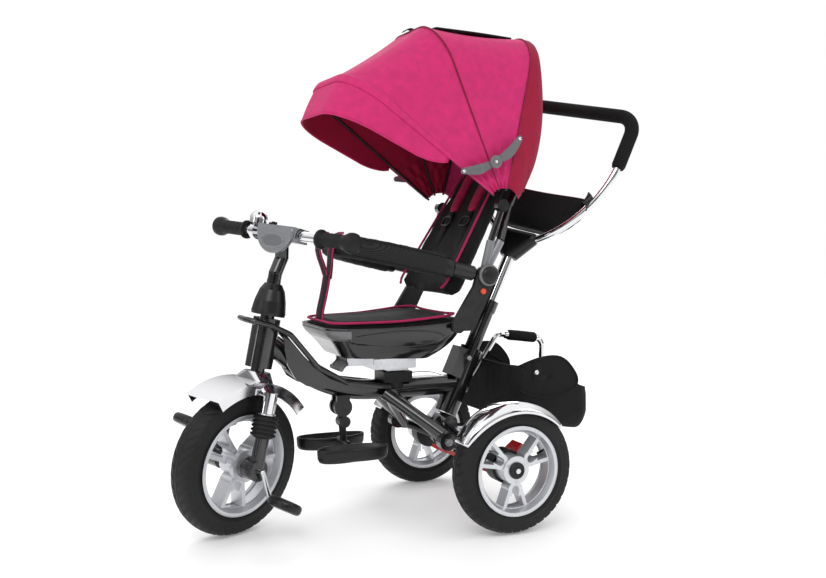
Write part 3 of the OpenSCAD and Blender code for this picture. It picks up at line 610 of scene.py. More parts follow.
def plate(name, outline, place, thickness, finish, body=None, round_edge=0.0008, **more):
    """An outline in the first two axes of place, extruded along the third, with eased edges."""
    count = len(outline)
    levels = [(0.0, round_edge), (round_edge, 0.0), (thickness - round_edge, 0.0),
              (thickness, round_edge)]
    middle = np.mean(np.array(outline, float), axis=0)
    points = []
    for height, inset in levels:
        for q in outline:
            away = np.array(q, float) - middle
            q2 = np.array(q, float) - away / max(np.linalg.norm(away), 1e-9) * inset
            points.append(place @ Vector((q2[0], q2[1], height)))
    faces = strip(len(levels), count, wrap_columns=True)
    faces += [list(range(count)), list(range(3 * count, 4 * count))]
    return crease(piece(name, points, faces, finish, body, **more), 40)


def mirrored(points):
    """The same points on the other side of the mid-plane."""
    return np.asarray(points, float) * np.array([1, -1, 1])


def in_mm(rows):
    """The same tuples, turned from millimetres into metres."""
    return [tuple(v * mm for v in row) for row in rows]


def placed(place, rows):
    """Points given in millimetres, set in a frame."""
    return [tuple(place @ Vector(row)) for row in in_mm(rows)]


print("helpers ready")

# %% [markdown]
# Stitches, rivets, ribs and bolts repeat along a path. One Geometry Nodes tree sets copies of a small
# part at even steps along a line; its result is baked to a plain mesh, because instances don't export.

# %% Repeat a part along a path


def make_repeat_tree():
    """Mesh edges to curve, even points, one copy of Part at each, turned along the path."""
    tree = bpy.data.node_groups.new("repeat_along_path", "GeometryNodeTree")
    for label, kind in (("Geometry", "NodeSocketGeometry"), ("Part", "NodeSocketObject"),
                        ("Spacing", FLOAT), ("Finish", "NodeSocketMaterial")):
        tree.interface.new_socket(label, in_out="INPUT", socket_type=kind)
    tree.interface.new_socket("Geometry", in_out="OUTPUT", socket_type="NodeSocketGeometry")
    given = tree.nodes.new("NodeGroupInput").outputs
    end = tree.nodes.new("NodeGroupOutput")
    curve = node(tree, "GeometryNodeMeshToCurve", [(0, given["Geometry"])])
    points = node(tree, "GeometryNodeCurveToPoints", [("Curve", curve.outputs[0]),
                                                      ("Length", given["Spacing"])], mode="LENGTH")
    part = node(tree, "GeometryNodeObjectInfo", [("Object", given["Part"])])
    copies = node(tree, "GeometryNodeInstanceOnPoints",
                  [("Points", points.outputs["Points"]), ("Instance", part.outputs["Geometry"]),
                   ("Rotation", points.outputs["Rotation"])])
    real = node(tree, "GeometryNodeRealizeInstances", [(0, copies.outputs[0])])
    dressed = node(tree, "GeometryNodeSetMaterial", [("Geometry", real.outputs[0]),
                                                     ("Material", given["Finish"])])
    tree.links.new(dressed.outputs[0], end.inputs[0])
    return tree


REPEAT = make_repeat_tree()
SOCKETS = {item.name: item.identifier for item in REPEAT.interface.items_tree
           if item.in_out == "INPUT"}


def repeat(name, paths, part, spacing, finish, body):
    """Copies of part, which is then removed, along each path, baked into one mesh."""
    points, edges = [], []
    for path in paths:
        start = len(points)
        points += [tuple(map(float, q)) for q in path]
        edges += [(start + i, start + i + 1) for i in range(len(path) - 1)]
    line = bpy.data.meshes.new(name + "_line")
    line.from_pydata(points, edges, [])
    host = bpy.data.objects.new(name + "_line", line)
    scene.collection.objects.link(host)
    modifier = host.modifiers.new("repeat", "NODES")
    modifier.node_group = REPEAT
    modifier[SOCKETS["Part"]] = part
    modifier[SOCKETS["Spacing"]] = spacing
    modifier[SOCKETS["Finish"]] = M[finish]
    bpy.context.view_layer.update()
    baked = bpy.data.meshes.new_from_object(host.evaluated_get(bpy.context.evaluated_depsgraph_get()))
    baked.name = name
    made = bpy.data.objects.new(name, baked)
    scene.collection.objects.link(made)
    bpy.data.objects.remove(host)
    bpy.data.objects.remove(part)
    for polygon in baked.polygons:
        polygon.use_smooth = True
    return settle(made, body)


def stitch(length=0.0028, radius=0.00035):
    """One stitch at the origin: a short thread, thicker in the middle, lying along the path."""
    profile = [(0, -length / 2), (radius, -length / 4), (radius, length / 4), (0, length / 2)]
    return lathe("stitch", profile, Matrix.Identity(4), "zinc", steps=5)


print("tree", REPEAT.name, "takes", sorted(SOCKETS))

# %% [markdown]
# ## Canopy
# The canopy is cloth stretched over three wire hoops that fan out from one pivot. Between hoops the
# cloth runs nearly straight, so each panel is a grid drawn from arch to arch, with a slight sag and
# gathers near the pivot.

# %% The arches
CORNER = 92 * mm
canopy_box = {part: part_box(part) for part in ("canopy_front", "canopy_middle", "canopy_back")}
FRONT_R, MIDDLE_R, REAR_R = 405 * mm, 385.5 * mm, 362.5 * mm
FRONT_W, MIDDLE_W, REAR_W = (canopy_box[part][1].y for part in
                             ("canopy_front", "canopy_middle", "canopy_back"))
ARCH_FOOT = 36 * mm
LEAN_IN = 11 * mm
ARCH_STEPS = 97


def arch(radius, half_w):
    """(distance from the pivot, y) along a hoop, from its left foot over the top to the right."""
    foot, corner = ARCH_FOOT, CORNER
    side_len = radius - corner - foot
    arc_len = corner * math.pi / 2
    half_w = half_w - LEAN_IN
    top_len = 2 * (half_w - corner)
    total = 2 * (side_len + arc_len) + top_len
    out = []
    for t in np.linspace(0, total, ARCH_STEPS):
        sign = 1 if t <= total / 2 else -1
        d = t if sign > 0 else total - t
        if d < side_len:
            out.append((foot + d, sign * (half_w + LEAN_IN * (1 - d / side_len))))
        elif d < side_len + arc_len:
            a = (d - side_len) / corner
            out.append((radius - corner + corner * math.sin(a),
                        sign * (half_w - corner + corner * math.cos(a))))
        else:
            out.append((radius, sign * (half_w - corner - (d - side_len - arc_len))))
    return np.array(out)


def on_hoop(section, degrees, lift=0.0):
    """Points of an arch's section on the plane through the pivot at this angle above +X."""
    a = math.radians(degrees)
    r, y = section[:, 0] + lift, section[:, 1]
    return np.stack([PIVOT.x + r * math.cos(a), y, PIVOT.z + r * math.sin(a)], axis=1)


def panel(section_a, angle_a, section_b, angle_b, steps, sag=0.0, gathers=0.0):
    """A grid from one hoop to another. It sags between them and is gathered near the pivot."""
    a, b = on_hoop(section_a, angle_a), on_hoop(section_b, angle_b)
    rows = []
    for i in range(steps):
        t = i / (steps - 1)
        line = a * (1 - t) + b * t
        reach = section_a[:, 0] * (1 - t) + section_b[:, 0] * t
        middle = np.array([PIVOT.x, 0, PIVOT.z])
        inward = (middle - line) * np.array([1, 0.55, 1])
        inward /= np.linalg.norm(inward, axis=1)[:, None]
        swell = 4 * t * (1 - t)
        depth = sag * swell * np.clip((reach - 0.08) / 0.2, 0, 1)
        fold = gathers * swell * np.clip((0.17 - reach) / 0.1, 0, 1)
        wave = np.sin(t * math.pi * 5) * np.sin(reach * 90 + 1)
        line = line + inward * depth[:, None]
        line[:, 1] -= np.sign(line[:, 1]) * np.abs(fold * (0.5 + 0.5 * wave))
        rows.append(line)
    return np.array(rows)


front_arch = arch(FRONT_R, FRONT_W - 1 * mm)
middle_arch = arch(MIDDLE_R, MIDDLE_W - 0.5 * mm)
rear_arch = arch(REAR_R, REAR_W - 0.5 * mm)
FRONT_HOOP, MIDDLE_HOOP, REAR_HOOP, VISOR_EDGE = 37, 68, 103, 26
CLOTH = 1.4 * mm
print("hoop widths", [round(2 * w, 3) for w in (FRONT_W, MIDDLE_W, REAR_W)])

# %% Front and middle panels


def stretched(made):
    """Return a canopy panel unchanged. Its cut size isn't known."""
    return made


# Each canopy piece's inner face gets the pink painted darker, as painted shade.
front_grid = panel(front_arch, FRONT_HOOP, middle_arch, MIDDLE_HOOP, 25, sag=5 * mm, gathers=10 * mm)
canopy_top = shell("canopy_front_panel", front_grid, CLOTH, "canopy_pink", shaded_inside="canopy_pink_shaded",
                   stands_for=["canopy_front"])
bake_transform(canopy_top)

middle_grid = panel(middle_arch, MIDDLE_HOOP, rear_arch, REAR_HOOP, 29, sag=6 * mm, gathers=9 * mm)
canopy_crown = shell("canopy_middle_panel", middle_grid, CLOTH, "canopy_pink", shaded_inside="canopy_pink_shaded",
                     stands_for=["canopy_middle"])
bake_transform(canopy_crown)

# %% [markdown]
# The visor hangs forward of the front hoop: a plain flap whose lower corners are cut round. Its
# edge is hemmed, and the hoop itself runs in a double-stitched channel.

# %% Visor and the front hoop's channel
VISOR_FOOT = 150 * mm
VISOR_ROWS = 15
side_share = np.clip((front_arch[:, 0] - VISOR_FOOT) / (75 * mm), 0, 1)
visor_turn = (FRONT_HOOP - VISOR_EDGE) * np.sqrt(1 - (1 - side_share) ** 2)
keep = np.where(front_arch[:, 0] > VISOR_FOOT)[0]
visor_rows = []
for i in range(VISOR_ROWS):
    share = i / (VISOR_ROWS - 1)
    row = []
    for k in keep:
        angle = math.radians(FRONT_HOOP - visor_turn[k] * share)
        shrink = 1 - 0.022 * share
        r = front_arch[k, 0] * shrink
        row.append((PIVOT.x + r * math.cos(angle), front_arch[k, 1] * (1 - 0.015 * share),
                    PIVOT.z + r * math.sin(angle)))
    visor_rows.append(row)
visor_grid = np.array(visor_rows)[::-1]
visor = shell("canopy_visor", visor_grid, 2 * mm, "canopy_pink", "canopy_front", shaded_inside="canopy_pink_shaded")
tube("visor_hem", visor_grid[0], 1.5 * mm, "canopy_pink", "canopy_front", sides=8)

CHANNEL = ((-1.3, -0.8), (-1.0, 0.6), (0, 1.0), (1.0, 0.6), (1.3, -0.8))
channel = np.array([on_hoop(front_arch, FRONT_HOOP + turn, lift * mm) for turn, lift in CHANNEL])
channel[:, :, 1] += np.sign(channel[:, :, 1]) * np.array([0, 0.9, 1.4, 0.9, 0])[:, None] * mm
shell("front_hoop_channel", channel[::-1], 1.2 * mm, "canopy_pink", "canopy_front")


def seam_points(section, degrees, lift):
    """A line just proud of the cloth along a hoop."""
    line = on_hoop(section, degrees, lift)
    line[:, 1] += np.sign(line[:, 1]) * lift
    return line


repeat("front_hoop_stitches", [seam_points(front_arch, FRONT_HOOP + side_a, 1.3 * mm)
                               for side_a in (-0.85, 0.85)],
       stitch(), 4.2 * mm, "seam_pink", "canopy_front")
print("done: visor and the front hoop's channel")

# %% [markdown]
# Each other hoop shows as a thin dark piped seam, with the wire itself inside the cloth.

# %% Seams and hoops
tube("middle_hoop_piping", seam_points(middle_arch, MIDDLE_HOOP, 0.9 * mm), 1.3 * mm, "seam_pink",
     "canopy_middle", sides=8)
tube("rear_hoop_piping", seam_points(rear_arch, REAR_HOOP, 0.9 * mm), 1.3 * mm, "seam_pink",
     "backrest", sides=8)
for label, section, degrees, body in (("front", front_arch, FRONT_HOOP, "canopy_front"),
                                      ("middle", middle_arch, MIDDLE_HOOP, "canopy_middle"),
                                      ("rear", rear_arch, REAR_HOOP, "backrest")):
    inside = section - np.array([[4.5 * mm, 0]])
    inside[:, 1] -= np.sign(inside[:, 1]) * 4.5 * mm
    tube(f"{label}_hoop", on_hoop(inside, degrees), 2.6 * mm, "satin_black", body, sides=8)
print("done: seams and hoops")

# %% [markdown]
# Behind the rear hoop the cloth drops to the top of the backrest as a curtain, narrower at the foot.

# %% Rear curtain
CURTAIN = ((REAR_HOOP, 1.0, 1.0), (108, 0.99, 0.93), (117, 0.78, 0.84), (127, 0.6, 0.76),
           (140, 0.44, 0.66), (156, 0.31, 0.56))
curtain_rows = []
for degrees, reach, width in CURTAIN:
    section = rear_arch.copy()
    stretch = (REAR_R * reach - ARCH_FOOT) / (REAR_R - ARCH_FOOT)
    section[:, 0] = ARCH_FOOT + (section[:, 0] - ARCH_FOOT) * stretch
    height = (section[:, 0] - ARCH_FOOT) / max(section[:, 0].max() - ARCH_FOOT, 1e-6)
    section[:, 1] *= 1 - (1 - width) * np.clip(height * 1.2, 0, 1)
    curtain_rows.append(on_hoop(section, degrees))
curtain_rows = np.array(curtain_rows)
curtain_grid = np.stack([smooth_path(curtain_rows[:, k], 5) for k in range(curtain_rows.shape[1])],
                        axis=1)
ripple_at = np.linspace(0, 1, curtain_grid.shape[0])[:, None]
across = np.linspace(-1, 1, curtain_grid.shape[1])[None, :]
curtain_grid[:, :, 0] += 2.2 * mm * np.sin(across * 26) * ripple_at * (1 - across ** 4)
curtain = shell("canopy_curtain", curtain_grid[::-1], CLOTH, "canopy_pink", "backrest",
                shaded_inside="canopy_pink_shaded", stands_for=["canopy_back"])
tube("curtain_hem", curtain_grid[-1], 1.6 * mm, "seam_pink", "backrest", sides=8)
stretched(canopy_top)
stretched(canopy_crown)
stretched(visor)
stretched(curtain)
print("done: rear curtain")

# %% [markdown]
# A vent flap lies on the crown, bound in black and bowed up between its ends, and small black tabs
# hold it at the hoops.

# %% Vent flap and tabs
flap_half_w = 74 * mm
flap_rows = []
for t in np.linspace(0.12, 0.93, 21):
    degrees = MIDDLE_HOOP + (REAR_HOOP - MIDDLE_HOOP) * t
    along_t = (t - 0.12) / 0.81
    a, b = on_hoop(middle_arch, MIDDLE_HOOP), on_hoop(rear_arch, REAR_HOOP)
    row = []
    for u in np.linspace(-1, 1, 25):
        width = flap_half_w * (0.72 + 0.28 * math.cos(along_t * math.pi * 0.5))
        y = u * width
        top_a, top_b = a[len(a) // 2], b[len(b) // 2]
        base = top_a * (1 - t) + top_b * t
        droop = 0.9 * mm + 10 * mm * math.sin(math.pi * along_t) * (1 - 0.75 * u * u)
        edge_drop = max(0.0, abs(y) - (REAR_W - CORNER)) ** 2 * 4.2
        row.append((base[0], y, base[2] + droop - 5 * mm * 4 * t * (1 - t) * 0.8 - edge_drop))
    flap_rows.append(row)
flap_grid = np.array(flap_rows)
flap = shell("vent_flap", flap_grid, 1.2 * mm, "canopy_pink", "canopy_middle", shaded_inside="canopy_pink_shaded")
flap_edge = np.concatenate([flap_grid[:, 0], flap_grid[-1, 1:], flap_grid[::-1, -1][1:],
                            flap_grid[0, ::-1][1:-1]])
tube("vent_flap_binding", flap_edge, 2.3 * mm, "dark_binding", "canopy_middle", sides=8, closed=True)
for label, section, degrees, body in (("front", middle_arch, MIDDLE_HOOP, "canopy_middle"),
                                      ("rear", rear_arch, REAR_HOOP, "backrest")):
    centre = on_hoop(section, degrees, 2.2 * mm)[len(section) // 2]
    tab = np.array([[centre + np.array([u * 12 * mm, v * 9 * mm,
                                        (1 - u * u) * 5 * mm + (-u * 1.5 * mm)])
                     for v in np.linspace(-1, 1, 5)] for u in np.linspace(-1, 1, 9)])
    shell(f"hoop_tab_{label}", tab, 1.4 * mm, "dark_binding", body)
print("done: vent flap and tabs")

# %% [markdown]
# The side struts are leaf-shaped moulded arms, each riveted to a hoop, that meet in a round knob.

# %% Struts
STRUT_PINS = {"rear": Vector(joints["strut_rear_fold"]["pos_m"]),
              "elbow": Vector(joints["strut_front_fold"]["pos_m"]),
              "front": Vector((88.3 * mm, 0, 711.9 * mm))}
strut_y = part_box("strut_rear")[1].y - 14 * mm


def leaf(start, end, half_w, bow):
    """An outline in X and Z from start to end, widest in the middle and bowed to one side."""
    d = (end - start)
    n = Vector((-d.z, 0, d.x)).normalized()
    sides = []
    for t in np.linspace(0, 1, 18):
        middle = start + d * t + n * bow * math.sin(math.pi * t)
        w = half_w * (0.62 + 0.38 * math.sin(math.pi * min(1, t * 1.1)))
        sides.append((middle + n * w, middle - n * w))
    cap_end = [end + (d.normalized() * math.sin(a) + n * math.cos(a)) * half_w * 0.7
               for a in np.linspace(0.3, math.pi - 0.3, 6)]
    cap_start = [start + (-d.normalized() * math.sin(a) - n * math.cos(a)) * half_w * 0.64
                 for a in np.linspace(0.3, math.pi - 0.3, 6)]
    points = [s[0] for s in sides] + cap_end + [s[1] for s in reversed(sides)] + cap_start
    return [(p.x, p.z) for p in points]


RIVET = in_mm([(0, 1.8), (2, 1.5), (3.6, 0.2), (3.6, -2), (0, -2)])
KNOB = in_mm([(0, 4.6), (4, 4.6), (5, 5.6), (11, 5), (13, 3), (13, 0), (0, 0)])
KNOB_RIVET = in_mm([(0, 6.6), (2, 6.4), (3.6, 5.2), (3.6, 4), (0, 4)])
for side_name, side_sign in (("left", 1), ("right", -1)):
    outwards = Matrix.Rotation(-side_sign * math.pi / 2, 4, "X")
    for label, tip, body, out in (("rear", STRUT_PINS["rear"], "strut_rear", 0.0),
                                  ("front", STRUT_PINS["front"], "strut_front", 4.6 * mm)):
        y = side_sign * (strut_y + out)
        place = Matrix(((1, 0, 0, 0), (0, 0, side_sign, y), (0, 1, 0, 0), (0, 0, 0, 1)))
        bow = -7 * mm if label == "rear" else 5 * mm
        stands = [f"strut_{label}"] if side_sign > 0 else ()
        plate(f"strut_{label}_{side_name}", leaf(tip, STRUT_PINS["elbow"], 10 * mm, bow), place, 4 * mm,
              "lever_grey", body, round_edge=1.2 * mm, stands_for=stands)
        rivet = Matrix.Translation((tip.x, y + side_sign * 4 * mm, tip.z)) @ outwards
        lathe(f"strut_rivet_{label}_{side_name}", RIVET, rivet, "chrome", body, steps=20)
    knob_y = side_sign * (strut_y + 8.5 * mm)
    knob = Matrix.Translation((STRUT_PINS["elbow"].x, knob_y, STRUT_PINS["elbow"].z)) @ outwards
    lathe(f"strut_knob_{side_name}", KNOB, knob, "lever_grey", "strut_rear")
    lathe(f"strut_knob_rivet_{side_name}", KNOB_RIVET, knob, "chrome", "strut_rear", steps=20)
print("canopy done")

# %% [markdown]
# ## Seat
# The seat is a glossy moulded bucket: its rim dips behind the legs and its sides taper to a flat
# bottom. It is drawn as one closed outline at several levels, stacked and lined like a real moulding.

# %% Seat shell


def rounded_outline(x0, x1, back_w, front_w, back_r, front_r, count=112):
    """A round-cornered outline, wider behind than in front, as points spaced evenly."""
    corners = ((x0 + back_r, back_w - back_r, back_r, 90),
               (x0 + back_r, -(back_w - back_r), back_r, 180),
               (x1 - front_r, -(front_w - front_r), front_r, 270),
               (x1 - front_r, front_w - front_r, front_r, 0))
    line = []
    for cx, cy, r, a0 in corners:
        for a in np.linspace(a0, a0 + 90, 13):
            line.append((cx + r * math.cos(math.radians(a)), cy + r * math.sin(math.radians(a))))
    line = np.array(line + line[:1])
    length = np.concatenate([[0], np.cumsum(np.linalg.norm(np.diff(line, axis=0), axis=1))])
    even = np.linspace(0, length[-1], count, endpoint=False)
    return np.stack([np.interp(even, length, line[:, 0]), np.interp(even, length, line[:, 1])], axis=1)


SEAT_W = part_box("seat_shell")[1].y


def rim_height(x, back, front, dip):
    """Height of a level of the bucket: it falls from the back to the middle and rises again."""
    t = np.clip((x - 54 * mm) / (286 * mm), 0, 1)
    return back + (front - back) * t - dip * np.sin(math.pi * np.clip(t, 0, 1)) ** 1.5


LEVELS = ((54, 340, 0, 112, 44, 46, 415, 403, 4), (55.5, 338.5, 0.5, 111.6, 44, 46, 411, 399, 4),
          (58, 335, 1.5, 110, 43, 45, 404, 393, 4), (66, 330, 5, 107, 42, 44, 388, 384, 3),
          (78, 321, 14, 101, 40, 42, 370, 374, 2), (94, 311, 28, 94, 38, 40, 352, 362, 1),
          (108, 303, 42, 87, 36, 38, 339, 351, 0), (114, 299, 48, 83, 34, 36, 334.5, 346, 0))
shell_rows = []
for x0, x1, inset, front_w, back_r, front_r, z0, z1, dip in LEVELS:
    flat = rounded_outline(x0 * mm, x1 * mm, SEAT_W - inset * mm, front_w * mm, back_r * mm,
                           front_r * mm)
    z = rim_height(flat[:, 0], z0 * mm, z1 * mm, dip * mm)
    shell_rows.append(np.column_stack([flat, z]))
shell_rows = np.array(shell_rows)
smooth_rows = np.stack([smooth_path(shell_rows[:, k], 4) for k in range(shell_rows.shape[1])], axis=0)
count = smooth_rows.shape[1]
SEAT_MIDDLE = np.array([206 * mm, 0, 0])
inner = smooth_rows.copy()
centre_line = smooth_rows.mean(axis=0)[None]
inward = centre_line - smooth_rows
inward[:, :, 2] = 0
inward /= np.linalg.norm(inward, axis=2)[..., None]
inner += inward * 4 * mm + np.array([0, 0, 1.0]) * np.linspace(0, 4, count)[None, :, None] * mm
points = np.concatenate([smooth_rows.reshape(-1, 3), inner.reshape(-1, 3)])
around = smooth_rows.shape[0]
faces = strip(around, count, wrap_rows=True)
faces += [list(reversed(f)) for f in strip(around, count, wrap_rows=True, start=around * count)]
for i in range(around):
    k = (i + 1) % around
    faces.append([i * count, k * count, around * count + k * count, around * count + i * count])
faces.append([i * count + count - 1 for i in range(around)])
faces.append([around * count + i * count + count - 1 for i in range(around)])
piece("seat_bucket", points, faces, "moulded_black", "seat", stands_for=["seat_shell"])

rim_line = np.array([p[0] for p in smooth_rows]) + np.array([0, 0, 0.3 * mm])
tube("seat_rim_roll", rim_line + (SEAT_MIDDLE - rim_line) * np.array([0.006, 0.012, 0]), 2.2 * mm,
     "moulded_black", "seat", sides=10, closed=True)
print("done: seat shell")

# %% [markdown]
# A raised sweeping line is moulded into each side of the bucket, and a grey lip runs round the
# front under the rim.

# %% Swoosh and lip


def on_bucket(x, z, lift=1.2 * mm):
    """A point on the bucket's left side at this x and height."""
    level = smooth_rows[(smooth_rows[:, 0, 1] > 0)]
    near = level[np.argsort(np.abs(level[:, 0, 0] - x))[:3]]
    ys = [np.interp(-z, -line[:, 2], line[:, 1]) for line in near]
    return np.array([x, float(np.mean(ys)) + lift, z])


SWOOSH = ((112, 388), (140, 397), (190, 399), (240, 396), (282, 390), (304, 382), (290, 374),
          (244, 369), (190, 367), (144, 371), (116, 379))
swoosh = smooth_path([on_bucket(x * mm, z * mm) for x, z in SWOOSH], 6, closed=True)
swoosh = np.array([on_bucket(p[0], p[2], 0.4 * mm) for p in swoosh])
for label, line in (("left", swoosh), ("right", mirrored(swoosh))):
    tube(f"seat_swoosh_{label}", line, 1.7 * mm, "moulded_black", "seat", sides=8, closed=True)

front_arc = [k for k in range(around) if smooth_rows[k, 0, 0] > 296 * mm]
order = sorted(front_arc, key=lambda k: smooth_rows[k, 0, 1])
lip_rows = []
for share, out, down in ((0, 1.0, 2), (0.3, 3.4, 6), (0.62, 3.2, 15), (1, 0.6, 23)):
    row = []
    for k in order:
        p = smooth_rows[k]
        z = p[0, 2] - down * mm
        base = np.array([np.interp(-z, -p[:, 2], p[:, 0]), np.interp(-z, -p[:, 2], p[:, 1]), z])
        away = base - np.array([240 * mm, 0, z])
        away /= np.linalg.norm(away)
        edge = min(1.0, (SEAT_W - abs(base[1])) / (30 * mm) + 0.35)
        row.append(base + away * (out * edge * mm))
    lip_rows.append(row)
shell("seat_lip", np.array(lip_rows), 2.4 * mm, "lever_grey", "seat")
print("done: swoosh and lip")

# %% [markdown]
# The cushion is sewn cloth over foam. It starts as a closed mesh built from rings of its outline,
# remeshed and blown up with a short cloth pressure run, so it bulges between its stitched edges; the
# piping comes after that.

# %% Padded pieces by cloth pressure


def closed_blob(name, rows):
    """A closed mesh from rings of points, all of one length."""
    rows = np.asarray(rows, float)
    rings, around_count = rows.shape[:2]
    faces = strip(rings, around_count, wrap_columns=True)
    verts = list(rows.reshape(-1, 3))
    for start, order_of in ((0, -1), ((rings - 1) * around_count, 1)):
        verts.append(rows[0 if start == 0 else -1].mean(axis=0))
        hub = len(verts) - 1
        for j in range(around_count):
            a, b = start + j, start + (j + 1) % around_count
            faces.append([a, b, hub] if order_of < 0 else [b, a, hub])
    mesh = bpy.data.meshes.new(name)
    mesh.from_pydata([tuple(map(float, v)) for v in verts], [], faces)
    work = bmesh.new()
    work.from_mesh(mesh)
    bmesh.ops.remove_doubles(work, verts=work.verts, dist=1e-5)
    bmesh.ops.recalc_face_normals(work, faces=work.faces)
    work.to_mesh(mesh)
    work.free()
    return mesh


def padded(name, mesh, finish, body, stands_for, voxel, pressure, cap):
    """Remesh, blow up with cloth pressure for twenty frames, cap the swelling, and smooth."""
    made = bpy.data.objects.new(name, mesh)
    scene.collection.objects.link(made)
    bpy.context.view_layer.objects.active = made
    made.select_set(True)
    remesh = made.modifiers.new("remesh", "REMESH")
    remesh.mode = "VOXEL"
    remesh.voxel_size = voxel
    bpy.ops.object.modifier_apply(modifier=remesh.name)
    before = np.array([v.co[:] for v in made.data.vertices])
    cloth_modifier = made.modifiers.new("cloth", "CLOTH")
    settings = cloth_modifier.settings
    settings.use_pressure = True
    settings.uniform_pressure_force = pressure
    settings.effector_weights.gravity = 0
    settings.quality = 5
    settings.mass = 0.3
    settings.tension_stiffness = 15
    settings.compression_stiffness = 15
    settings.shear_stiffness = 5
    settings.bending_stiffness = 0.5
    cloth_modifier.point_cache.frame_start = 1
    cloth_modifier.point_cache.frame_end = 20
    for frame_number in range(1, 21):
        scene.frame_set(frame_number)
    done = made.evaluated_get(bpy.context.evaluated_depsgraph_get())
    after = np.array([v.co[:] for v in done.data.vertices])
    made.modifiers.remove(cloth_modifier)
    scene.frame_set(1)
    shift = after - before
    size = np.linalg.norm(shift, axis=1)
    shift *= (np.minimum(size, cap) / np.maximum(size, 1e-9))[:, None]
    for vertex, p in zip(made.data.vertices, before + shift):
        vertex.co = p
    print(name, "swelled by up to", round(float(size.max()) * 1000, 1), "mm")
    work = bmesh.new()
    work.from_mesh(made.data)
    bmesh.ops.smooth_vert(work, verts=work.verts, factor=0.5, use_axis_x=True, use_axis_y=True,
                          use_axis_z=True)
    bmesh.ops.recalc_face_normals(work, faces=work.faces)
    for face in work.faces:
        face.smooth = True
    work.to_mesh(made.data)
    work.free()
    subdivide = made.modifiers.new("subdivide", "SUBSURF")
    subdivide.levels = 1
    bpy.ops.object.modifier_apply(modifier=subdivide.name)
    made.select_set(False)
    made.data.materials.clear()
    made.data.materials.append(M[finish])
    return settle(made, body, stands_for)


# %% Seat cushion
cushion_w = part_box("seat_cushion")[1].y


def cushion_ring(inset, z0, z1, dip, grow):
    """One ring of the cushion's outline."""
    flat = rounded_outline((69 + inset) * mm, (334 - inset) * mm, cushion_w - inset * mm,
                           (101 - inset * 0.8) * mm, max(8, 40 - inset) * mm,
                           max(8, 44 - inset) * mm, 96)
    z = rim_height(flat[:, 0], z0 * mm, z1 * mm, dip * mm)
    side = np.clip(np.abs(flat[:, 1]) / (100 * mm), 0, 1) ** 3
    z = z + side * np.clip((200 * mm - flat[:, 0]) / (130 * mm), 0, 1) * grow * mm
    return np.column_stack([flat, z])


CUSHION = ((34, 396, 394, 0, 0), (16, 396, 393, 0, 0), (5, 403, 397, 2, 1), (0.5, 413, 404, 3, 2),
           (2, 421, 410, 3, 4), (8, 425, 414, 3, 4), (18, 424, 414, 4, 1), (34, 418, 412, 4, 0),
           (60, 416, 412, 4, 0))
cushion_rings = [cushion_ring(*level) for level in CUSHION]
padded("seat_pad", closed_blob("seat_pad", cushion_rings), "black_fabric", "seat", ["seat_cushion"],
       voxel=4.5 * mm, cap=5 * mm, pressure=3.0)
piping_ring = cushion_ring(3.5, 426.5, 414.5, 3, 4)
tube("seat_piping", piping_ring, 2.6 * mm, "pink_piping", "seat", sides=10, closed=True)
seam_ring = cushion_ring(24, 425.5, 415, 3.4, 1)
repeat("seat_stitches", [np.vstack([seam_ring, seam_ring[:1]])], stitch(0.003, 0.0004), 5 * mm,
       "seam_pink", "seat")
print("done: seat cushion")

# %% [markdown]
# ## Backrest
# The backrest pad wraps round its tube frame: a flat panel with raised sides, sewn at the edges with
# the same pink piping, and a pair of padded shoulder straps.

# %% Backrest pad


def back_point(x, y, z):
    """A point of the backrest frame, from millimetres."""
    return BACK @ Vector((x * mm, y * mm, z * mm))


def pad_ring(z, half_w, wing, thin):
    """One ring round the backrest at a height along it, its sides turned forward by wing."""
    out = []
    for a in np.linspace(0, 2 * math.pi, 72, endpoint=False):
        c, s = math.cos(a), math.sin(a)
        y = half_w * np.sign(s) * abs(s) ** 0.62
        side = abs(y) / half_w
        base = 24 - thin if c < 0 else 24 + thin
        x = base if abs(c) > 0.25 else 24 + thin * c / 0.25
        x += wing * side ** 5 * (1.15 if c > 0 else 0.45)
        out.append(tuple(back_point(x, y, z)))
    return out


half_low, half_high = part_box("backrest_pad")[1].y / mm - 4, 74
PAD_FOOT, PAD_LONG = -66, 384


def pad_shape(t):
    """At a share t of the backrest's height: its half width, its wing, and how round it is there."""
    w = half_low + (half_high - half_low) * t
    ease = min(1.0, (t + 0.004) / 0.07, (1.004 - t) / 0.09)
    rounded = math.sqrt(max(0.0, 1 - (1 - ease) ** 2))
    return w * (0.72 + 0.28 * rounded), 22 * (1 - t * 0.55), rounded


rings = []
for t in np.linspace(0, 1, 25):
    w, wing, rounded = pad_shape(t)
    rings.append(pad_ring(PAD_FOOT + t * PAD_LONG, w, wing, 11.5 * (0.45 + 0.55 * rounded)))
padded("back_pad", closed_blob("back_pad", rings), "black_fabric", "backrest", ["backrest_pad"],
       voxel=5 * mm, cap=6 * mm, pressure=3.0)


def back_edge(z_list, inset, x_off):
    """The edge line of the backrest at given heights, on the left."""
    line = []
    for z in z_list:
        w, wing, _ = pad_shape((z - PAD_FOOT) / PAD_LONG)
        line.append(tuple(back_point(24 + x_off + wing * 0.95, w - inset, z)))
    return line


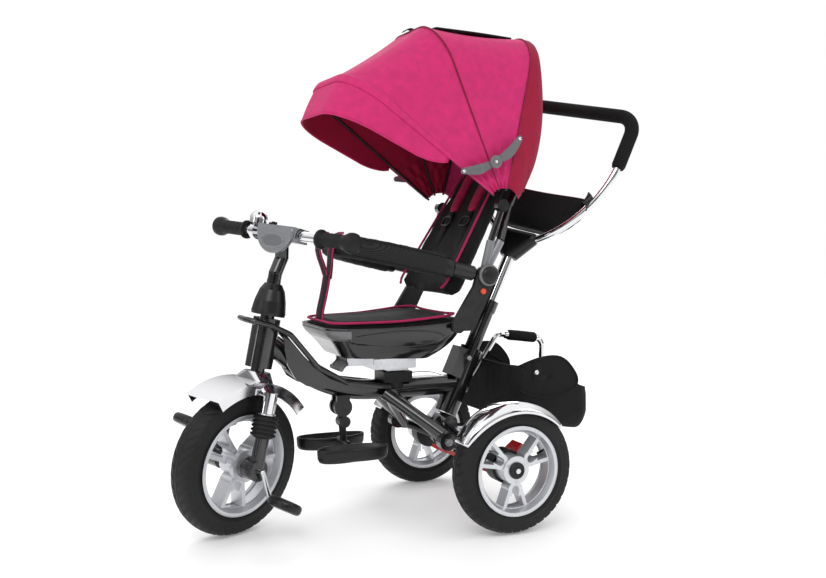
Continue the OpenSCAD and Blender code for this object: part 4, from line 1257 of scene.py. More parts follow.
left_edge = back_edge(np.linspace(-62, 311, 30), 1, 10)
top_line = [tuple(back_point(36, y, 318 - (abs(y) / 66) ** 3 * 5)) for y in np.linspace(62, -62, 13)]
right_edge = [tuple(v) for v in mirrored(left_edge)[::-1]]
tube("back_piping", smooth_path(left_edge + top_line + right_edge, 3), 2.6 * mm, "pink_piping",
     "backrest", sides=10)
for z in (60, 150, 240):
    line = [tuple(back_point(36.5 + 22 * (abs(y) / 100) ** 5, y, z + 6 * (y / 90) ** 2))
            for y in np.linspace(-84, 84, 25)]
    repeat(f"back_quilting_{z}", [line], stitch(0.003, 0.0004), 5 * mm, "seam_pink", "backrest")
print("done: backrest pad")

# %% Shoulder pads and straps
STRAP_SECTION = ((-1, -0.5), (-0.94, -1), (0.94, -1), (1, -0.5), (1, 0.5), (0.94, 1), (-0.94, 1),
                 (-1, 0.5))
HARNESS = ((30, 42, 312), (42, 42, 298), (46, 42, 276), (47, 42, 200), (46, 43, 120), (44, 46, 84),
           (40, 54, 20), (38, 66, -30), (38, 78, -52))


def strap(name, path, width, thickness, finish, body, across=(0, 1, 0), **more):
    """A flat strap along a path, its width along across."""
    path = np.asarray(path, float)
    tangent, _, _ = frames_along(path)
    side = np.asarray(across, float) - tangent * (tangent @ np.asarray(across, float))[:, None]
    side /= np.linalg.norm(side, axis=1)[:, None]
    face = np.cross(tangent, side)
    rings = np.stack([path + side * (c * width / 2) + face * (s * thickness / 2)
                      for c, s in STRAP_SECTION], axis=1)
    faces = strip(len(path), 8, wrap_columns=True)
    faces += [list(range(8)), list(range((len(path) - 1) * 8, len(path) * 8))]
    return piece(name, rings.reshape(-1, 3), faces, finish, body, **more)


for s, label in ((1, "left"), (-1, "right")):
    mesh_rows = []
    for t in np.linspace(0, 1, 17):
        z = 118 + 160 * t
        ease = math.sqrt(max(0.0, 1 - (2 * t - 1) ** 8))
        half = 17 * (0.55 + 0.45 * ease)
        thick = 2.2 + 5.6 * ease
        ring = []
        for a in np.linspace(0, 2 * math.pi, 28, endpoint=False):
            ring.append(tuple(back_point(44 + thick * math.sin(a), s * 42 + half * np.sign(math.cos(a))
                                         * abs(math.cos(a)) ** 0.5, z)))
        mesh_rows.append(ring)
    stands = ["harness"] if s > 0 else ()
    padded(f"shoulder_pad_{label}", closed_blob(f"shoulder_pad_{label}", mesh_rows), "pink_pad",
           "backrest", stands, voxel=4 * mm, cap=3 * mm, pressure=2.5)
    strap_line = [tuple(back_point(x, s * y, z)) for x, y, z in HARNESS]
    strap(f"harness_strap_{label}", smooth_path(strap_line, 4), 24 * mm, 2 * mm, "black_fabric",
          "backrest")
    buckle = [tuple(back_point(48, s * 42 + u, 98 + v)) for u, v in
              ((-15, -9), (15, -9), (15, 9), (-15, 9))]
    tube(f"harness_buckle_{label}", smooth_path(buckle, 3, closed=True), 2.2 * mm, "satin_black",
         "backrest", sides=8, closed=True)
print("seat and backrest done")

# %% [markdown]
# ## Safety bar
# The bar is a U of tube that plugs into sockets at the recline pivots. A zipped sleeve of coarse
# net covers its padding; below it a strap with pink edges forks round the bar and goes to the seat.

# %% Sleeve and its seams
BAR_TILT = math.radians(12.7)
BAR_BEND = 162 * mm
BAR_Y = 139 * mm


def bar_height(x):
    """Height of the bar's middle at this x."""
    return (508 + 1.5) * mm + (x - 46 * mm) * math.tan(BAR_TILT)


def bar_path(x_start, grow=0.0, steps=40):
    """The bar's middle line from one side round the front to the other."""
    run = BAR_Y + grow
    left = [(x, run, bar_height(x)) for x in np.linspace(x_start, BAR_BEND, 14)[:-1]]
    bend = []
    for a in np.linspace(math.pi / 2, -math.pi / 2, steps):
        out = run * math.cos(a)
        bend.append((BAR_BEND + out * math.cos(BAR_TILT), run * math.sin(a),
                     bar_height(BAR_BEND) + out * math.sin(BAR_TILT)))
    return np.array(left + bend + [(x, -y, z) for x, y, z in reversed(left)])


sleeve_path = bar_path(112 * mm)
BAR_UP = (-math.sin(BAR_TILT), 0, math.cos(BAR_TILT))


def oval_tube(name, path, half_h, half_t, finish, body, wrinkle=0.0, sides=26, **more):
    """A tube of oval section, tall along the bar's own up direction and slightly gathered."""
    tangent, _, _ = frames_along(path)
    up = np.array(BAR_UP) - tangent * (tangent @ np.array(BAR_UP))[:, None]
    up /= np.linalg.norm(up, axis=1)[:, None]
    side = np.cross(up, tangent)
    run = np.concatenate([[0], np.cumsum(np.linalg.norm(np.diff(path, axis=0), axis=1))])
    rings = []
    for k, a in enumerate(np.linspace(0, 2 * math.pi, sides, endpoint=False)):
        creases = 1 + wrinkle * (np.sin(run * 210 + 2.2 * math.sin(a * 2))
                                 + 0.6 * np.sin(run * 523 + a * 3))
        h = np.asarray(half_h) * math.sin(a) * creases
        t = np.asarray(half_t) * math.cos(a) * creases
        rings.append(path + up * h[:, None] + side * t[:, None])
    rings = np.stack(rings, axis=1)
    faces = strip(len(path), sides, wrap_columns=True)
    faces += [list(range(sides)), list(range((len(path) - 1) * sides, len(path) * sides))]
    return piece(name, rings.reshape(-1, 3), faces, finish, body, **more)


dense = smooth_path(sleeve_path, 3)
run = np.linspace(0, 1, len(dense))
ends = np.clip(np.minimum(run, 1 - run) / 0.035, 0, 1) ** 0.5
oval_tube("bar_sleeve", dense, (15.5 + 7.0 * ends) * mm, (13 + 3.6 * ends) * mm, "mesh_fabric",
          "safety_bar", wrinkle=0.012, stands_for=["safety_bar"])
plain = bar_path(48 * mm)
plain_r = np.full(len(plain), 10.9 * mm)
oval_tube("bar_tube", plain, plain_r, plain_r, "satin_black", "safety_bar", sides=24)
for label, sign in (("left", 1), ("right", -1)):
    cuff = np.array([(x, sign * BAR_Y, bar_height(x)) for x in np.linspace(101 * mm, 122 * mm, 9)])
    grow = np.array([0.86, 0.97, 1, 1, 1, 1, 0.99, 0.95, 0.86])
    oval_tube(f"bar_cuff_{label}", cuff, 20.5 * mm * grow, 17 * mm * grow, "satin_black", "safety_bar")
for lift, label in ((0.78, "upper"), (-0.78, "lower")):
    seam = dense[4:-4] + np.array(BAR_UP) * lift * 22 * mm
    tangent_s, _, _ = frames_along(seam)
    outward = np.cross(np.array(BAR_UP), tangent_s)
    outward *= np.sign((outward * (seam - np.array([BAR_BEND, 0, 0.53]))).sum(axis=1))[:, None]
    seam = seam + outward * 11 * mm
    tube(f"bar_seam_{label}", seam, 1.1 * mm, "black_fabric", "safety_bar", sides=8)
print("done: sleeve and its seams")

# %% Crotch strap
stem_points = [(327, 417), (325, 436), (319, 462), (314, 488), (311, 506)]


def strap_piece(name, path, width, thick, finish, stands=()):
    """A strap that rides on no body, its place baked into its mesh."""
    made = strap(name, path, width, thick, finish, None, stands_for=stands)
    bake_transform(made)
    return made


stem_line = smooth_path([(x * mm, 0, z * mm) for x, z in stem_points], 6)
strap_piece("crotch_stem", stem_line, 37 * mm, 4.2 * mm, "black_fabric", ["crotch_strap"])
for s, label in ((1, "left"), (-1, "right")):
    edge = stem_line + np.array([0.6 * mm, s * 18.2 * mm, 0])
    made = tube(f"crotch_edge_{label}", edge, 2.2 * mm, "pink_piping", sides=8)
    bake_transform(made)
    arm = smooth_path([(311 * mm, s * 10 * mm, 505 * mm), (313 * mm, s * 21 * mm, 522 * mm),
                       (316 * mm, s * 33 * mm, 542 * mm), (316.5 * mm, s * 40 * mm, 560 * mm),
                       (309 * mm, s * 43 * mm, 584 * mm), (296 * mm, s * 43 * mm, 591 * mm)], 5)
    strap(f"crotch_arm_{label}", arm, 25 * mm, 3.6 * mm, "black_fabric", "safety_bar")
    for off, which in ((12.5, "outer"), (-12.5, "inner")):
        line = arm + np.array([0.8 * mm, s * off * mm, 0])
        tube(f"crotch_arm_edge_{label}_{which}", line, 1.9 * mm, "pink_piping", "safety_bar", sides=8)
print("safety bar done")

# %% [markdown]
# ## Basket, bag and foam grips
# The basket is a soft box of black cloth held in shape by a piped top edge; a flap folds over the
# side that shows, closed by a snap, and there is a gathered pocket behind.

# %% Storage basket


def box_ring(x0, x1, half_front, half_back, z_front, z_back, radius=20 * mm, count=88):
    """One level of a soft box: a rounded outline whose height runs from front to back."""
    line = rounded_outline(x0, x1, half_back, half_front, radius, radius, count)
    t = (line[:, 0] - x0) / (x1 - x0)
    return np.column_stack([line, z_back + (z_front - z_back) * t])


BASKET = ((-208, -56, 118, 114, 203, 176), (-222, -50, 130, 126, 206, 178),
          (-229, -47, 138, 138, 232, 200), (-230, -46, 139.5, 141, 265, 224),
          (-229, -45.5, 140, 141, 295, 246), (-227, -45, 140, 140, 317, 262))
basket_rings = np.array([box_ring(*level) for level in in_mm(BASKET)])
crown = np.sin(np.clip((-60 * mm - basket_rings[-1][:, 0]) / (140 * mm), 0, 1) * math.pi)
basket_rings[-1][:, 2] += crown * 20 * mm
basket_rings[-2][:, 2] += crown * 10 * mm
basket_grid = np.stack([smooth_path(basket_rings[:, k], 5) for k in range(basket_rings.shape[1])],
                       axis=0)
around_b, levels_b = basket_grid.shape[:2]
turn_b = np.linspace(0, 2 * math.pi, around_b, endpoint=False)[:, None]
level_b = np.linspace(0, 1, levels_b)[None, :]
out_b = basket_grid - basket_grid.mean(axis=0)[None]
out_b[:, :, 2] = 0
out_b /= np.linalg.norm(out_b, axis=2)[..., None]
pucker = 1.3 * mm * np.sin(turn_b * 27 + np.sin(level_b * 7) * 1.5) * np.sin(level_b * math.pi) ** 0.6
basket_grid = basket_grid - out_b * np.abs(pucker)[..., None]
basket_grid = basket_grid[::-1]
shell("basket_wall", basket_grid, 2.2 * mm, "black_fabric", "frame", wrap=True,
      stands_for=["storage_basket"])
floor_rows = []
for s in np.linspace(1, 0.05, 8):
    ring = basket_grid[:, 0].copy()
    centre_b = ring.mean(axis=0)
    ring = centre_b + (ring - centre_b) * s
    floor_rows.append(ring)
shell("basket_floor", np.array(floor_rows).transpose(1, 0, 2), 2 * mm, "black_fabric", "frame",
      wrap=True)
tube("basket_top_piping", basket_grid[:, -1], 2.5 * mm, "dark_binding", "frame", sides=8, closed=True)
tube("basket_foot_piping", basket_grid[:, 0], 2.2 * mm, "dark_binding", "frame", sides=8, closed=True)
print("done: storage basket")

# %% Flap, snap and rear pocket


def on_basket(x, z, side=1.0, lift=2 * mm):
    """A point on the outside of the basket's side."""
    near = basket_grid[(basket_grid[:, 0, 1] * side > 0)]
    best = near[np.argsort(np.abs(near[:, levels_b // 2, 0] - x))[:2]]
    y = float(np.mean([np.interp(z, line[:, 2], np.abs(line[:, 1])) for line in best]))
    return np.array([x, side * (y + lift), z])


FLAP = ((-52, 0, 314), (-90, 0, 330), (-136, 0, 336), (-168, 0, 326), (-196, 0, 292), (-193, 0, 268),
        (-160, 0, 256), (-112, 0, 251), (-66, 0, 262), (-50, 0, 286))
SNAP = in_mm([(0, 2.2), (2.6, 1.9), (5.4, 0.6), (5.4, -2), (0, -2)])
flap_outline = smooth_path(in_mm(FLAP), 6, closed=True)
for side, label in ((1.0, "left"), (-1.0, "right")):
    centre = flap_outline.mean(axis=0)
    rows = []
    for share in (1.0, 0.985, 0.8, 0.55, 0.3, 0.02):
        row = [on_basket(*(centre + (q - centre) * share)[[0, 2]], side,
                         2.4 * mm + (1 - share) * 1.2 * mm) for q in flap_outline]
        rows.append(row)
    grid = np.array(rows).transpose(1, 0, 2)
    grid[:, :, 1] = np.sign(grid[:, :, 1]) * np.minimum(np.abs(grid[:, :, 1]), 143.5 * mm)
    shell(f"basket_flap_{label}", grid if side < 0 else grid[::-1], 1.8 * mm, "black_fabric", "frame",
          wrap=True)
    edge = np.array(rows[0])
    tube(f"basket_flap_piping_{label}", edge, 2.2 * mm, "dark_binding", "frame", sides=8, closed=True)
    snap_at = on_basket(-97 * mm, 304 * mm, side, 4.4 * mm)
    snap_place = Matrix.Translation(snap_at) @ Matrix.Rotation(-side * math.pi / 2, 4, "X")
    lathe(f"basket_snap_{label}", SNAP, snap_place, "chrome", "frame", steps=28)
    tab_line = [on_basket(-97 * mm, z * mm, side, 3.6 * mm) for z in (326, 316, 304, 294, 288)]
    strap(f"basket_tab_{label}", smooth_path(tab_line, 4), 20 * mm, 1.6 * mm, "dark_binding", "frame",
          across=(1, 0, 0))
pocket_rows = []
for t in np.linspace(0, 1, 15):
    z = (188 + 62 * t) * mm
    row = []
    for u in np.linspace(-1, 1, 41):
        swell = (1 - u ** 6) * math.sin(math.pi * min(1, t * 1.2 + 0.05))
        ruffle = 1.6 * mm * math.sin(u * 40) * t
        row.append((-228 * mm - min(9.0, 10 * swell) * mm * 0.9 + ruffle * 0.6, u * 104 * mm,
                    z - 3 * mm * u * u))
    pocket_rows.append(row)
shell("basket_pocket", np.array(pocket_rows), 1.8 * mm, "black_fabric", "frame")
tube("basket_pocket_edge", np.array(pocket_rows[-1]), 2.4 * mm, "dark_binding", "frame", sides=8)
print("done: flap, snap and rear pocket")

# %% [markdown]
# The parent's bag hangs from the loop behind the canopy. Its mouth has a stiff edge; the lining
# shows as a thin pink line, and the cloth sags into soft folds below.

# %% Parent bag
LOOP = MAST @ Matrix.Translation((0, 0, 240 * mm))


def bag_ring(z, half_w, u_mid, half_t, count=96, droop=0.0):
    """One level of the bag in the mast's frame: a long oval across the loop."""
    out = []
    for a in np.linspace(0, 2 * math.pi, count, endpoint=False):
        y = half_w * np.sign(math.sin(a)) * abs(math.sin(a)) ** 0.8
        x = u_mid + half_t * np.sign(math.cos(a)) * abs(math.cos(a)) ** 0.75
        out.append(tuple(LOOP @ Vector((x * mm, y * mm, (z - droop * (1 - (y / half_w) ** 2)) * mm))))
    return out


bag_levels = ((66, 58, -31, 13, 0), (72, 70, -32, 19, 0), (90, 90, -34, 24, 1),
              (112, 107, -35.5, 25.5, 3), (134, 117, -36, 26, 5), (150, 121, -36, 26, 7),
              (156, 121, -36, 25, 8))
bag_rows = np.array([bag_ring(z, w, u, t, droop=d) for z, w, u, t, d in bag_levels])
bag_grid = np.stack([smooth_path(bag_rows[:, k], 5) for k in range(bag_rows.shape[1])], axis=0)
around_p, levels_p = bag_grid.shape[:2]
turn_p = np.linspace(0, 2 * math.pi, around_p, endpoint=False)[:, None]
level_p = np.linspace(0, 1, levels_p)[None, :]
centre_p = bag_grid.mean(axis=0)[None]
folds = 0.035 * np.sin(turn_p * 11 + level_p * 5) * np.sin(level_p * math.pi) ** 0.7
bag_grid = bag_grid + (centre_p - bag_grid) * np.abs(folds)[..., None]
shell("bag_wall", bag_grid[::-1], 2 * mm, "black_fabric", "push_handle", wrap=True,
      stands_for=["parent_bag"])
base_rows = []
for s in np.linspace(1, 0.05, 7):
    ring = bag_grid[::-1][:, 0].copy()
    base_rows.append(ring.mean(axis=0) + (ring - ring.mean(axis=0)) * s)
shell("bag_base", np.array(base_rows).transpose(1, 0, 2), 1.8 * mm, "black_fabric", "push_handle",
      wrap=True)
tube("bag_mouth_edge", bag_grid[:, -1], 2.6 * mm, "dark_binding", "push_handle", sides=8, closed=True)
lining_line = bag_grid[:, -1] + (bag_grid[:, -1].mean(axis=0) - bag_grid[:, -1]) * 0.03
tube("bag_lining_edge", lining_line + np.array([0, 0, 2.2 * mm]), 1.2 * mm, "pink_piping", "push_handle",
     sides=8, closed=True)
HOOK = ((-24, 112, 146), (-10, 124, 150), (4, 134, 152), (13, 139, 150), (10, 146, 140),
        (-4, 138, 132), (-22, 116, 128))
for s, label in ((1, "left"), (-1, "right")):
    hook = placed(LOOP, [(u, s * y, z) for u, y, z in HOOK])
    strap(f"bag_hook_{label}", smooth_path(hook, 5), 24 * mm, 2.4 * mm, "satin_black", "push_handle",
          across=tuple((LOOP.to_3x3() @ Vector((0, 0, 1)))))
print("done: parent bag")

# %% [markdown]
# Closed-cell foam is slid over the metal loop and the carry handle; it has a slight waist at its
# ends where it is glued.

# %% Foam grips
loop_line = []
for z in np.linspace(230, 308, 12)[:-1]:
    loop_line.append((0, 175, z))
for a in np.linspace(0, math.pi / 2, 14):
    loop_line.append((0, 135 + 40 * math.cos(a), 308 + 40 * math.sin(a)))
loop_line += [(0, y, 348) for y in np.linspace(130, 0, 14)]
full_line = loop_line + [(u, -y, z) for u, y, z in reversed(loop_line[:-1])]
grip_line = np.array(placed(LOOP, full_line))
run_g = np.linspace(0, 1, len(grip_line))
end_g = np.clip(np.minimum(run_g, 1 - run_g) / 0.012, 0, 1) ** 0.5
tube("push_foam", grip_line, (12.5 + 2.4 * end_g) * mm, "foam", "push_handle", sides=28,
     stands_for=["foam_grip"])

handle_line = smooth_path(in_mm([(-109, 0, 367.5), (-134, 0, 364.8), (-160, 0, 361.4),
                                 (-180, 0, 358.8)]), 8)
run_h = np.linspace(0, 1, len(handle_line))
end_h = np.clip(np.minimum(run_h, 1 - run_h) / 0.06, 0, 1) ** 0.5
tube("carry_foam", handle_line, (9.4 + 2.2 * end_h) * mm, "foam", "frame", sides=24)
for x, z, label in ((-107, 367.8, "front"), (-182, 358.4, "rear")):
    step = np.array([(x + d, 0, z - d * 0.13) for d in np.linspace(-5, 5, 5)]) * mm
    tube(f"carry_ring_{label}", step, 8 * mm, "chrome", "frame", sides=24)
print("bags and grips done")

# %% [markdown]
# ## Wheels
# Each tyre is moulded rubber: a crowned tread cut by curved grooves, shoulder blocks and two thin
# rings on the sidewall. A turned profile gives the body, and its radius dips wherever a groove runs.

# %% Tyres


def wheel_frame(centre, axis):
    """A frame whose third axis is a wheel's axis."""
    z = Vector(axis).normalized()
    x = Vector((0, 0, 1)).cross(z).normalized()
    y = z.cross(x)
    place = Matrix((x, y, z)).transposed().to_4x4()
    place.translation = Vector(centre)
    return place


def tyre(name, place, radius, seat, half_w, body, stands_for, blocks, depth, slant):
    """A tyre with a slanted groove for each block. Its outer radius is never more than radius."""
    across = np.linspace(-1, 1, 33)
    steps = blocks * 10
    profile = [(seat, -half_w + 4 * mm), (seat + 5 * mm, -half_w), (seat + 12 * mm, -half_w - 0.6 * mm),
               (seat + 13 * mm, -half_w - 1.5 * mm), (seat + 15 * mm, -half_w - 1.5 * mm),
               (seat + 16 * mm, -half_w - 0.6 * mm), (seat + 20 * mm, -half_w)]
    side_count = len(profile)
    for u in across:
        a = u * math.radians(66)
        profile.append((radius - half_w * 0.62 * (1 - math.cos(a)), half_w * math.sin(a) * 1.09))
    profile += [(r, -w) for r, w in reversed(profile[:side_count])]
    points = []
    for k in range(steps):
        a = 2 * math.pi * k / steps
        for n, (r, w) in enumerate(profile):
            cut = 0.0
            if side_count <= n < side_count + len(across):
                u = across[n - side_count]
                phase = (k / 10 + slant * abs(u) + (0.5 if u < 0 else 0.0)) % 1
                groove = abs(phase - 0.5) * 2
                centre_rib = 1.0 if 0.1 < abs(u) < 0.17 else 0.0
                cut = depth * max(centre_rib, 1.0 if groove > 0.72 and abs(u) > 0.17 else 0.0)
            points.append(place @ Vector(((r - cut) * math.cos(a), (r - cut) * math.sin(a), w)))
    last = len(profile) - 1
    faces = strip(steps, len(profile), wrap_rows=True)
    faces += [[k * len(profile) + last, k * len(profile), (k + 1) % steps * len(profile),
               (k + 1) % steps * len(profile) + last] for k in range(steps)]
    return piece(name, points, faces, "tread_rubber", body, stands_for=stands_for)


WHEELS = {}
for s, label in ((1, "left"), (-1, "right")):
    centre = joints[f"rear_wheel_{label}_spin"]["pos_m"]
    centre = (centre[0], s * 211 * mm, centre[2])
    WHEELS[label] = wheel_frame(centre, (0, s, 0))
    tyre(f"rear_tread_{label}", WHEELS[label], 127.5 * mm, 85.5 * mm, 24.4 * mm, f"rear_wheel_{label}",
         [f"rear_tyre_{label}"], 40, 2.0 * mm, 0.55)
front_axis = HEAD.to_3x3() @ Vector((0, 1, 0))
WHEELS["front"] = wheel_frame(WHEEL_CENTRE, front_axis)
tyre("front_tread", WHEELS["front"], 142 * mm, 96.5 * mm, 25.4 * mm, "front_wheel", ["front_tyre"],
     44, 1.6 * mm, 1.3)
print("done: tyres")

# %% [markdown]
# The rims stay as packed. Trim finishes them: a polished lip on each side, a dark hub cap, and bolts
# where the spokes meet the barrel.

# %% Hub caps and lips


def ring(name, place, radius, along, thick, finish, body, sides=10, steps=120):
    """A thin round ring about the third axis of place."""
    line = [tuple(place @ Vector((radius * math.cos(a), radius * math.sin(a), along)))
            for a in np.linspace(0, 2 * math.pi, steps, endpoint=False)]
    return tube(name, np.array(line), thick, finish, body, sides=sides, closed=True)


HUB_OUT = 16
BOLT_R = 24
CAP = in_mm([(r, HUB_OUT + w) for r, w in
             ((0, 0.0), (15.5, 0.0), (16.5, 1.5), (16.5, 5.5), (14.6, 7.6), (11.5, 8.0), (10.8, 7.0),
              (4.5, 7.0), (0, 7.6), (0, -1))])
BOLT = in_mm([(0, 0), (3.1, 0), (3.4, 0.5), (3.4, 2.2), (2.2, 2.8), (0, 2.8)])
RIMS = (("left", "rear_wheel_left", 88.2, 26.4, 76), ("right", "rear_wheel_right", 88.2, 26.4, 76),
        ("front", "front_wheel", 99.4, 27.4, 86.5))
for label, body, lip, edge, step_r in RIMS:
    place = WHEELS[label]
    for sign, side in ((1, "outer"), (-1, "inner")):
        ring(f"rim_lip_{label}_{side}", place, lip * mm, sign * edge * mm, 1.3 * mm, "wheel_silver",
             body)
        ring(f"rim_step_{label}_{side}", place, step_r * mm, sign * 13.5 * mm, 1.2 * mm,
             "wheel_silver", body)
    if label != "front":
        lathe(f"hub_cap_{label}", CAP, place, "satin_black", body, steps=48)
for label, body, *_ in RIMS[:2]:
    for k in range(3):
        a = math.radians(90 + 120 * k + 60)
        spot = WHEELS[label] @ Matrix.Translation((BOLT_R * mm * math.cos(a), BOLT_R * mm * math.sin(a),
                                                   HUB_OUT * mm))
        lathe(f"hub_bolt_{label}_{k}", BOLT, spot, "zinc", body, steps=6)
print("done: hub caps and lips")

# %% [markdown]
# The valve stem is a short rubber nipple inside each rim.

# %% Valves
VALVE = in_mm([(0, 0), (2.6, 0), (2.4, 8), (3, 8.4), (3, 13), (1.6, 15), (0, 15)])
for label, body, *_ in RIMS:
    reach = 76 * mm if label != "front" else 87 * mm
    stem_frame = WHEELS[label] @ Matrix.Rotation(math.radians(24), 4, "Z")
    stem_frame = stem_frame @ Matrix.Translation((reach, 0, 3 * mm))
    stem_frame = stem_frame @ Matrix.Rotation(-math.pi / 2, 4, "Y")
    lathe(f"valve_{label}", VALVE, stem_frame, "grip_black", body, steps=16)
print("wheels done")

# %% [markdown]
# ## Steering trim
# The grips are soft rubber with rings to stop the hand sliding; the plate in front of the stem is
# moulded with an oval panel; the gaiters are thin bellows over the fork.

# %% Grips
BAR_W = 252
GRIP_START = 104.2
profile = [(r, GRIP_START + w) for r, w in
           ((10.7, 0), (17.5, 0.2), (18.8, 1.4), (18.8, 5), (17.4, 6.4), (13.4, 7.4))]
for k in range(11):
    w = GRIP_START + 11 + k * 4.6
    profile += [(12.6, w), (13.9, w + 1.0), (13.9, w + 2.6), (12.6, w + 3.6)]
profile += [(14.5, 168), (14.8, 174), (17.6, 179), (19.6, 184), (20, 190), (19, 196), (15.5, 199.6),
            (6, 200), (0, 200)]
for s, label in ((1, "left"), (-1, "right")):
    place = HEAD @ Matrix.Translation((0, 0, BAR_W * mm)) @ Matrix.Rotation(-s * math.pi / 2, 4, "X")
    lathe(f"grip_{label}", in_mm(profile), place, "grip_black", "steering", steps=64,
          stands_for=["handlebar_grips"] if s > 0 else ())
print("done: grips")

# %% Plate on the handlebar


def oval_outline(half_x, half_y, count=56, power=2.2):
    """A superellipse outline."""
    out = []
    for a in np.linspace(0, 2 * math.pi, count, endpoint=False):
        c, s = math.cos(a), math.sin(a)
        out.append((half_x * np.sign(c) * abs(c) ** (2 / power),
                    half_y * np.sign(s) * abs(s) ** (2 / power)))
    return out


PLATE = HEAD @ Matrix.Translation((22 * mm, 0, (BAR_W - 4) * mm)) @ Matrix(((0, 0, 1, 0), (1, 0, 0, 0),
                                                                            (0, 1, 0, 0), (0, 0, 0, 1)))
half_round = [(-46 * mm, 17 * mm), (-50 * mm, 12 * mm)]
for a in np.linspace(math.pi, 2 * math.pi, 33):
    half_round.append((50 * mm * math.cos(a), 8 * mm + 45 * mm * math.sin(a)))
half_round += [(50 * mm, 12 * mm), (46 * mm, 17 * mm)]
plate("handlebar_shield", half_round, PLATE @ Matrix.Translation((0, 0, -3 * mm)), 5 * mm, "plate_grey",
      "steering", round_edge=1.5 * mm)
oval_line = np.array([tuple(PLATE @ Vector((x, y - 12 * mm, 2.2 * mm))) for x, y in
                      oval_outline(31 * mm, 14 * mm)])
tube("shield_oval", oval_line, 1.3 * mm, "plate_grey", "steering", sides=8, closed=True)
plate("shield_panel", [(x, y - 12 * mm) for x, y in oval_outline(26 * mm, 10 * mm)],
      PLATE @ Matrix.Translation((0, 0, 0.6 * mm)), 2.4 * mm, "lever_grey", "steering")
cover_rows = []
for u in np.linspace(-1, 1, 25):
    row = []
    for a in np.linspace(-0.5, math.pi + 0.5, 17):
        r = 16.5 * mm * (1 - 0.12 * abs(u) ** 6)
        row.append(tuple(HEAD @ Vector((r * math.cos(a), u * 53 * mm, BAR_W * mm + r * math.sin(a)))))
    cover_rows.append(row)
shell("bar_cover", np.array(cover_rows), 2.2 * mm, "satin_black", "steering")
print("done: plate on the handlebar")

# %% Gaiters
GAITER_TOP = -98
COLLAR = in_mm([(0, -94), (17.6, -94), (18, -94.6), (18, GAITER_TOP), (0, GAITER_TOP)])
profile = [(0, -98.8), (17, -98.8), (20.5, -99.4)]
for k in range(5):
    w = -100 - k * 8.1
    profile += [(24.6, w - 2.0), (25.2, w - 3.4), (24.6, w - 4.8), (19.6, w - 7.4)]
profile += [(18.4, -141.4), (0, -141.6)]
for s, label in ((1, "left"), (-1, "right")):
    place = HEAD @ Matrix.Translation((10 * mm, s * 58 * mm, 0))
    made = lathe(f"gaiter_{label}", in_mm(profile), place, "grip_black", "steering", steps=48,
                 stands_for=["gaiters"] if s > 0 else ())
    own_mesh(made)
    lathe(f"gaiter_collar_{label}", COLLAR, place, "chrome", "steering", steps=40)
print("steering trim done")

# %% [markdown]
# ## Last bright and moulded trim
# The mudguards over the rear wheels are thin curved bands that taper to both ends, the footrests
# are open trays and the pedals are flat pebbles, so each is shaped here and stands for its block.

# %% Rear mudguards, footrests and pedals
BODY_OF = {name: body for body, names in frame["record"]["behaviour"]["bodies"].items()
           for name in names}
MUDGUARD_FROM, MUDGUARD_SPAN = 27, 115


def mudguard(name, side, stands_for=()):
    """A bright band over a rear wheel: crowned across, with a deeper outer edge, tapered at its ends."""
    low_corner, high_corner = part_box(f"rear_tyre_{name}")
    middle_point = (low_corner + high_corner) / 2
    wheel_r = (high_corner.z - low_corner.z) / 2
    grid = []
    for a in np.linspace(MUDGUARD_FROM, MUDGUARD_FROM + MUDGUARD_SPAN, 49):
        t = (a - MUDGUARD_FROM) / MUDGUARD_SPAN
        taper = math.sin(math.pi * min(max(0.06 + 0.88 * t, 0), 1)) ** 0.45
        row = []
        for u in np.linspace(-1, 1, 17):
            drop = (5 * u * u + 17 * max(0.0, u) ** 5 + 6 * max(0.0, -u) ** 5) * taper + 3 * (1 - taper)
            r = wheel_r + (9 - drop) * mm
            y = middle_point.y + side * u * (16 + 18 * taper) * mm
            row.append((middle_point.x + r * math.cos(math.radians(a)), y,
                        middle_point.z + r * math.sin(math.radians(a))))
        grid.append(row)
    grid = np.array(grid)
    outer = grid if side < 0 else grid[:, ::-1]
    return shell(f"mudguard_{name}", outer, 1.6 * mm, "chrome", "frame", stands_for=stands_for)


mudguard("left", 1, ["rear_fenders"])
mudguard("right", -1)


def layered(name, outline, levels, place, finish, body, **more):
    """An outline repeated at several (height, inset) levels and closed at both ends."""
    outline = np.array(outline, float)
    middle_point = outline.mean(axis=0)
    away = outline - middle_point
    away /= np.linalg.norm(away, axis=1)[:, None]
    points = []
    for height, inset in levels:
        for q in outline - away * inset:
            points.append(place @ Vector((q[0], q[1], height)))
    size = len(outline)
    faces = strip(len(levels), size, wrap_columns=True)
    faces += [list(range(size)), list(range((len(levels) - 1) * size, len(levels) * size))]
    return piece(name, points, faces, finish, body, **more)


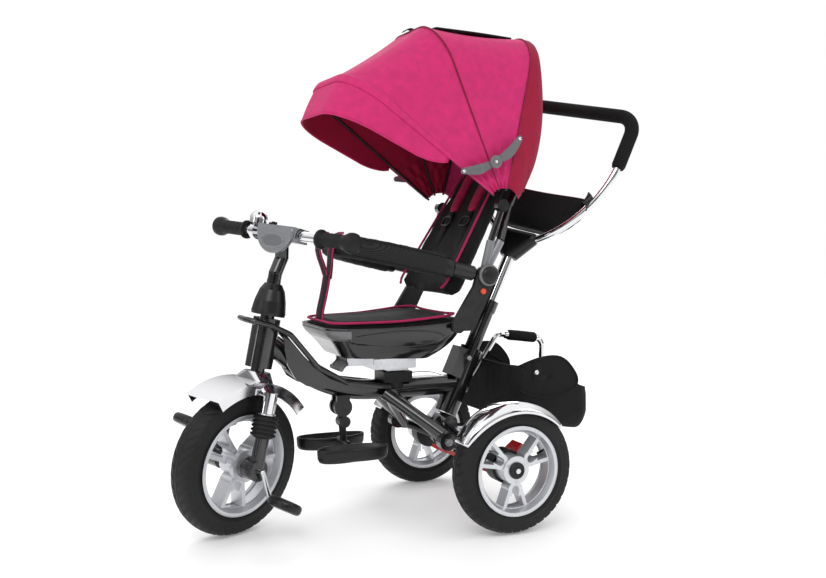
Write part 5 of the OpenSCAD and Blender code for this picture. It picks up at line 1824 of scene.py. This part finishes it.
TRAY = in_mm([(0, 9), (1.5, 5), (8, 1), (22, 0), (26, 0.6), (27, 2), (26, 3.6), (12, 5.5), (9, 8),
              (9, 14)])
PEBBLE = in_mm([(-10, 9), (-9.5, 5), (-7, 1.5), (-3, 0), (3, 0), (7, 1.5), (9.5, 5), (10, 8),
                (8.6, 11), (8.6, 20)])
RECLINE_RING = in_mm([(0, -6), (21, -6), (22, 0), (20, 3), (0, 3)])
RECLINE_CAP = in_mm([(0, 2), (18, 2), (17.4, 6), (12, 8.6), (0, 9.6)])
for side, label in ((1, "left"), (-1, "right")):
    bean = [(75 * math.cos(a), 32 * math.sin(a) * (1 + 0.1 * math.cos(a)) + 4 * math.cos(2 * a))
            for a in np.linspace(0, 2 * math.pi, 72, endpoint=False)]
    bean = [(280 * mm + x * mm * (1 - 0.12 * abs(y / 36) ** 3), side * (63 + y * 0.92) * mm)
            for x, y in bean]
    layered(f"footrest_tray_{label}", bean, TRAY, Matrix.Translation((0, 0, 138 * mm)), "satin_black",
            BODY_OF["foot_plates"], stands_for=["foot_plates"] if side > 0 else ())
    low_corner, high_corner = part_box(f"pedal_{label}")
    middle_point = (low_corner + high_corner) / 2
    place = HEAD.to_3x3().to_4x4() @ Matrix.Rotation(math.radians(-20), 4, "Y")
    place.translation = middle_point
    oval = [(29 * mm * math.copysign(abs(math.cos(a)) ** 0.75, math.cos(a)),
             34 * mm * math.copysign(abs(math.sin(a)) ** 0.8, math.sin(a)))
            for a in np.linspace(0, 2 * math.pi, 64, endpoint=False)]
    layered(f"pedal_block_{label}", oval, PEBBLE, place, "satin_black", BODY_OF[f"pedal_{label}"],
            stands_for=[f"pedal_{label}"])
    cap_place = local_frame((recline["pos_m"][0], side * 160 * mm, recline["pos_m"][2]),
                            (0, side, 0), (0, 0, 1))
    lathe(f"recline_ring_{label}", RECLINE_RING, cap_place, "lever_grey", "seat", steps=56)
    lathe(f"recline_cap_{label}", RECLINE_CAP, cap_place, "satin_black", "seat", steps=56)
print("mudguards, trays, pedals and caps made")
